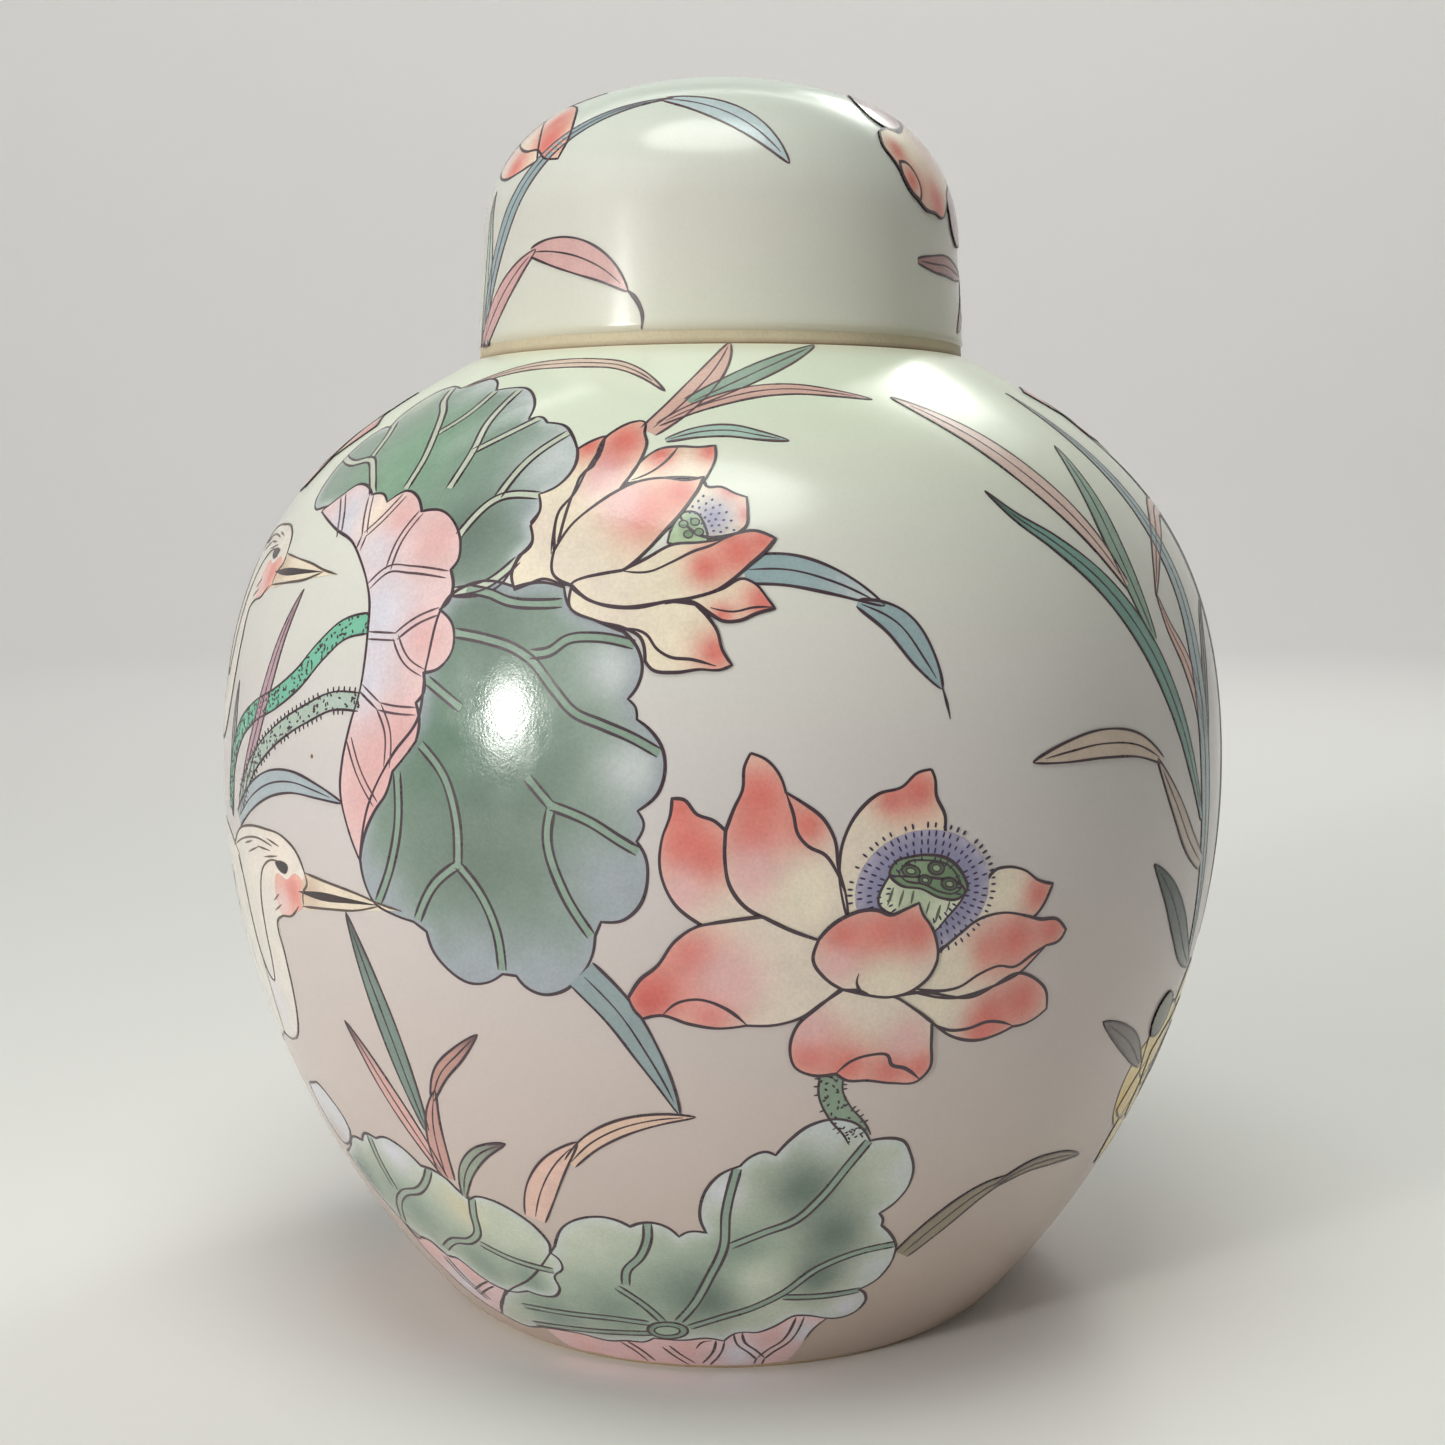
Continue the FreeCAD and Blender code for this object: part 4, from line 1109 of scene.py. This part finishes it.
def lotus_leaf(motif, x, y, wide, high, lobes, turn, folded):
    """A round scalloped leaf with a hub and forked double veins. Folded lobes show the pink underside."""
    motif.lift = OVER_REEDS

    def at(angle, share):
        return (x + wide * share * math.cos(angle), y + high * share * math.sin(angle))

    step = 2 * math.pi / lobes
    notches = [turn + step * (k + 0.12 * math.sin(2.3 * k)) for k in range(lobes)]
    reach = [0.9 + 0.06 * math.sin(1.7 * k + turn) for k in range(lobes)]

    def scallop(k, inner=1.0):
        a = notches[k]
        b = notches[(k + 1) % lobes] + (2 * math.pi if k == lobes - 1 else 0)
        return np.array([at(a, reach[k] * inner), at(a + (b - a) * 0.2, reach[k] * 1.08 * inner),
                         at((a + b) / 2, 1.1 * inner * (reach[k] + reach[(k + 1) % lobes]) / 2),
                         at(a + (b - a) * 0.8, reach[(k + 1) % lobes] * 1.08 * inner),
                         at(b, reach[(k + 1) % lobes] * inner)])

    ring = np.vstack([curve(scallop(k))[:-1] for k in range(lobes)])
    motif.wash(ring, LEAF, [(LEAF_DARK, x + wide * 0.3, y - high * 0.2, wide * 0.4),
                            (LEAF_PALE, x - wide * 0.35, y + high * 0.3, wide * 0.35),
                            (LEAF_DARK, x - wide * 0.2, y - high * 0.4, wide * 0.25)], edge=(LAVENDER, 3))
    for k in range(lobes):
        a = notches[k]
        fork = at(a - 0.1, 0.5)
        stem = [at(a + 0.15, 0.12), at(a, 0.3), fork]
        for path in ([*stem, at(a, reach[k])], [fork, at(a + 0.16, 0.7), at(a + step * 0.42, reach[k])]):
            flat = curve(np.array(path))
            motif.washes.stroke(flat, np.full(len(flat), 1.5), linear((146, 166, 150)), motif.lift)
            for shift in (-0.75, 0.75):
                motif.line(flat, 0.5, taper=2.0, shift=shift)
    for k in folded:
        outer, inner = scallop(k), scallop(k, 0.66)[::-1]
        lobe = np.vstack([curve(outer)[:-1], curve(np.array([outer[-1], inner[0]]))[:-1],
                          curve(inner)[:-1], curve(np.array([inner[-1], outer[0]]))[:-1]])
        cx, cy = outer[2]
        motif.wash(lobe, SHELL, [(PINK, cx, cy, wide * 0.16), (BLUSH, *inner[2], wide * 0.12)])
    motif.wash(bead(x, y, 5.4, 3.6, 0, 28), HUB, line=0.6)
    motif.wash(bead(x, y, 3.2, 1.9, 0, 22), HUB_PALE, line=0.5)


def heron_body(name, move, legs, seed):
    """A wading bird's pale body, with its feather strokes, dark tail and long legs."""
    bird = Motif(name, jar_side, seed)
    dx, dy = move

    def at(text):
        return moved(text, dx, dy)

    if legs:
        for foot in (0, -11):
            bird.line(at(f"{-150 + foot},64 {-148 + foot},48 {-150 + foot},32 {-149 + foot},14"), 0.9)
            for toe in (-5, 0, 5):
                bird.line(at(f"{-149 + foot},14.4 {-149 + foot + toe},10"), 0.6)
    bird.wash(at("-118,109 -130,113 -146,112 -162,106 -178,96 -194,84 -206,74 -213,65 / -196,68 -180,65"
                 " -164,61.5 -148,61 -134,65 -124,69 -117,71.3 / -114.6,84 -115.5,96"), (224, 217, 206),
              [((214, 208, 208), -150, 68, 14), ((238, 226, 214), -140, 100, 14),
               ((206, 200, 204), -184, 78, 12)], ink=(92, 76, 70), line=0.5)
    bird.wash(at("-186,84 -198,77 -207,71 -213,65 / -200,66.6 -190,69 -182,74"), (92, 88, 96), line=0.5)
    for row in range(6):
        for k in range(5):
            x = -130 - 10 * k - 2 * row
            y = 103 - 6.4 * row - 3.6 * k + 0.5 * k * (5 - row) / 5
            if y < 66:
                continue
            bird.line(at(f"{x},{y} {x - 4},{y - 2.4} {x - 7.6},{y - 5.8}"), 0.42, SOFT_INK)
            bird.line(at(f"{x - 7.6},{y - 5.8} {x - 6},{y - 1.6} {x - 4.6},{y + 0.8}"), 0.32, SOFT_INK)
    bird.finish()


def reed_clump(motif, root, leaves):
    """Reed leaves that lean out from one root: each a reach, a height, a bend, a width and a colour."""
    x, y = root
    for reach, rise, bend, width, colour in leaves:
        spine = [(x, y), (x + reach * 0.12 - bend * 0.4, y + rise * 0.34),
                 (x + reach * 0.42 - bend * 0.3, y + rise * 0.68), (x + reach, y + rise)]
        text = " ".join(f"{a:.2f},{b:.2f}" for a, b in spine)
        motif.blade(text, width, colour)


def back_of_jar():
    """The sides and the back, in the same manner: leaves and flowers with reeds round them."""
    reeds = Motif("back_reeds", jar_side, 47)
    reed_clump(reeds, (-238, 40), ((-34, 120, 6, 5.4, REED_GREEN), (-16, 150, -4, 6.0, REED_BLUE),
                                   (14, 132, 5, 5.0, REED_PINK), (34, 96, -5, 4.6, TEAL),
                                   (-46, 70, 4, 4.4, REED_PINK), (48, 62, -4, 4.0, REED_DARK)))
    reed_clump(reeds, (312, 60), ((-28, 66, 4, 5.0, REED_PINK), (-6, 100, 5, 5.4, REED_GREEN),
                                  (24, 80, -4, 4.8, REED_BLUE), (44, 50, -4, 4.0, REED_PINK)))
    reeds.blade("176,150 190,166 208,176 228,180 246,176", 5.0, REED_BLUE)
    reeds.blade("-300,206 -282,214 -262,215 -246,208", 4.0, REED_PINK)
    reeds.blade("232,214 250,219 270,217 286,209", 4.0, (218, 196, 180))
    reeds.finish()
    leaves = Motif("back_leaves", jar_side, 53)
    leaves.stalk("214,62 210,84 206,104 208,124", 3.6, EMERALD, hairs=0.6, dots=1.2)
    leaves.stalk("262,96 270,112 276,130 276,146", 3.8, STALK, hairs=0.7, dots=1.2)
    lotus_leaf(leaves, 206, 128, 35, 29, 10, 0.4, (2, 3, 4))
    lotus_leaf(leaves, 256, 34, 46, 27, 11, 0.1, (6, 7))
    lotus_leaf(leaves, -196, 26, 34, 20, 9, 0.7, (0, 1))
    lotus_leaf(leaves, -296, 96, 30, 27, 9, 0.2, (4, 5))
    leaves.finish()
    flowers = Motif("back_flowers", jar_side, 59)
    lotus_bloom(flowers, 284, 160, 36, 31, CORAL, CREAM, 7, 0.4, OVER_REEDS)
    lotus_bloom(flowers, -302, 172, 25, 18, PINK, (236, 226, 214), 7, 0.1, OVER_REEDS)
    lotus_bloom(flowers, -166, 197, 47, 20, CORAL, CREAM, 7, 0.2, OVER_REEDS)
    lotus_bloom(flowers, 172, 206, 50, 17, CORAL, CREAM, 7, 0.0, OVER_REEDS)
    lotus_bloom(flowers, -316, 36, 30, 20, OCHRE, YELLOW, 7, 0.3, OVER_REEDS)
    flowers.finish()


def lid_crown():
    """The flower and the reed leaves over the top and back of the lid."""
    top = Motif("lid_crown", lid_side, 61)
    for spine, width, colour in (("-20,20 -38,34 -56,40 -76,36", 5.4, REED_GREEN),
                                 ("-14,30 -24,50 -40,64 -58,70", 5.0, REED_PINK),
                                 ("16,34 26,52 42,66 60,68", 5.2, REED_BLUE),
                                 ("24,20 44,28 62,28 80,20", 5.0, REED_GREEN),
                                 ("4,40 6,56 0,72 -10,84", 4.6, TEAL),
                                 ("66,6 74,-2 80,-14 82,-28", 4.4, REED_PINK)):
        top.blade(spine, width, colour)
    lotus_bloom(top, 2, 20, 27, 25, CORAL, CREAM, 7, 0.3, 0.12)
    top.finish()


shoulder_reeds()
back_of_jar()
upper_left_leaf()
side_lotus()
low_reeds()
open_lotus()
low_middle_leaf()
low_left_leaf()
left_stalks()
heron_body("upper_heron_body", (-24, 58.5), False, 67)
heron_head("upper_heron", (-24, 58.5), 71)
heron_body("lower_heron_body", (0, 0), True, 73)
heron_head("lower_heron", (0, 0), 43)
lower_right_flower()
tall_reeds()
lid_painting()
lid_crown()

# ------------------------------------------------------------------ stage, camera and lights


FLOOR_PAPER = (0.88, 0.87, 0.85)


def stage_floor():
    """A pale round floor that curves up into a wall all the way round."""
    reach, rise, bend = 2.6, 2.4, 0.8
    steps, sides = 16, 96
    line = [(0.0, 0.0), (0.5, 0.0), (1.2, 0.0)]
    line += [(reach - bend + bend * math.sin(a), bend - bend * math.cos(a))
             for a in np.linspace(0, math.pi / 2, steps)]
    line.append((reach, rise))
    turns = np.linspace(0, 2 * math.pi, sides, endpoint=False)
    verts = [(0.0, 0.0, 0.0)] + [(r * math.cos(a), r * math.sin(a), z) for r, z in line[1:] for a in turns]
    faces = [(0, 1 + k, 1 + (k + 1) % sides) for k in range(sides)]
    for i in range(len(line) - 2):
        for k in range(sides):
            a, b = 1 + i * sides + k, 1 + i * sides + (k + 1) % sides
            faces.append((a, a + sides, b + sides, b))
    mesh = bpy.data.meshes.new("floor")
    mesh.from_pydata(verts, [], faces)
    mesh.polygons.foreach_set("use_smooth", [True] * len(mesh.polygons))
    material = bpy.data.materials.new("floor_paper")
    material.use_nodes = True
    shader = material.node_tree.nodes["Principled BSDF"]
    shader.inputs["Base Color"].default_value = (*FLOOR_PAPER, 1)
    shader.inputs["Roughness"].default_value = 0.9
    mesh.materials.append(material)
    floor = bpy.data.objects.new("floor", mesh)
    bpy.context.scene.collection.objects.link(floor)


def soft_light(name, place, aim, size, watts, colour=(1, 1, 1), shape="RECTANGLE"):
    """An area lamp at the place, turned to the aim."""
    light = bpy.data.lights.new(name, "AREA")
    light.shape = shape
    light.size, light.size_y = size
    light.energy = watts
    light.color = colour
    lamp = bpy.data.objects.new(name, light)
    lamp.location = place
    lamp.rotation_mode = "QUATERNION"
    lamp.rotation_quaternion = (Vector(aim) - Vector(place)).to_track_quat("-Z", "Y")
    bpy.context.scene.collection.objects.link(lamp)
    return lamp


def mirrored_from(side, x, y, eye, distance):
    """Where a lamp stands to be mirrored in the glaze at this place on it, and that place."""
    place, way = (v[0] for v in side.lay(np.array([[x, y]], float)))
    look = eye / MM - place
    look /= np.linalg.norm(look)
    towards = 2 * np.dot(look, way) * way - look
    return place * MM + towards * distance, place * MM


stage_floor()

eye = np.array([0.0, -0.4066, 0.1665])
look_down, lean = 6.65, -0.3   # degrees
lens = bpy.data.cameras.new("camera")
lens.lens = 46.56
lens.sensor_width = 36.0
lens.clip_start = 0.01
camera = bpy.data.objects.new("camera", lens)
camera.location = eye
camera.rotation_euler = Euler((math.radians(90 - look_down), 0, 0), "XYZ")
camera.rotation_euler.rotate_axis("Z", math.radians(lean))
bpy.context.scene.collection.objects.link(camera)
bpy.context.scene.camera = camera


def glowing_lamp(name, place, aim, size, watts, colour):
    """A lamp in three discs, one behind another, so that its image in the glaze fades out at the edge."""
    away = Vector(place) - Vector(aim)
    for k, (share, part) in enumerate(((0.5, 0.3), (1.0, 0.4), (1.6, 0.3))):
        stands = Vector(place) + away.normalized() * 0.01 * k
        soft_light(f"{name}_{k}", stands, aim, (size[0] * share, size[1] * share), watts * part, colour,
                   "ELLIPSE")


glowing_lamp("key", *mirrored_from(jar_side, -37, 142, eye, 1.0), (0.13, 0.22), 4.6, (1.0, 0.98, 0.95))
glowing_lamp("shoulder_glow", *mirrored_from(jar_side, 64, 216, eye, 1.3), (0.3, 0.2), 1.6,
             (0.96, 1.0, 0.95))
soft_light("tube", *mirrored_from(jar_side, 6, 182.5, eye, 1.3), (0.4, 0.02), 0.3)
glowing_lamp("back_right", (0.62, 0.95, 1.35), (0.03, 0, 0.2), (0.8, 0.7), 3.4, (0.97, 1.0, 0.93))
soft_light("left_fill", (-1.3, -1.1, 1.1), (0, 0, 0.12), (1.4, 1.4), 6.0, (1.0, 0.98, 0.98))
soft_light("top", (-0.05, -0.24, 0.82), (0, -0.03, 0.2), (0.5, 0.34), 2.5, (0.95, 1.0, 0.94), "ELLIPSE")
soft_light("backdrop_light", (0, 1.0, 1.7), (0, 2.4, 0.4), (2.4, 0.5), 17)

world = bpy.data.worlds.new("studio")
world.use_nodes = True
world.node_tree.nodes["Background"].inputs["Color"].default_value = (0.95, 0.95, 0.95, 1)
world.node_tree.nodes["Background"].inputs["Strength"].default_value = 0.03
bpy.context.scene.world = world
bpy.context.scene.view_settings.view_transform = "Standard"
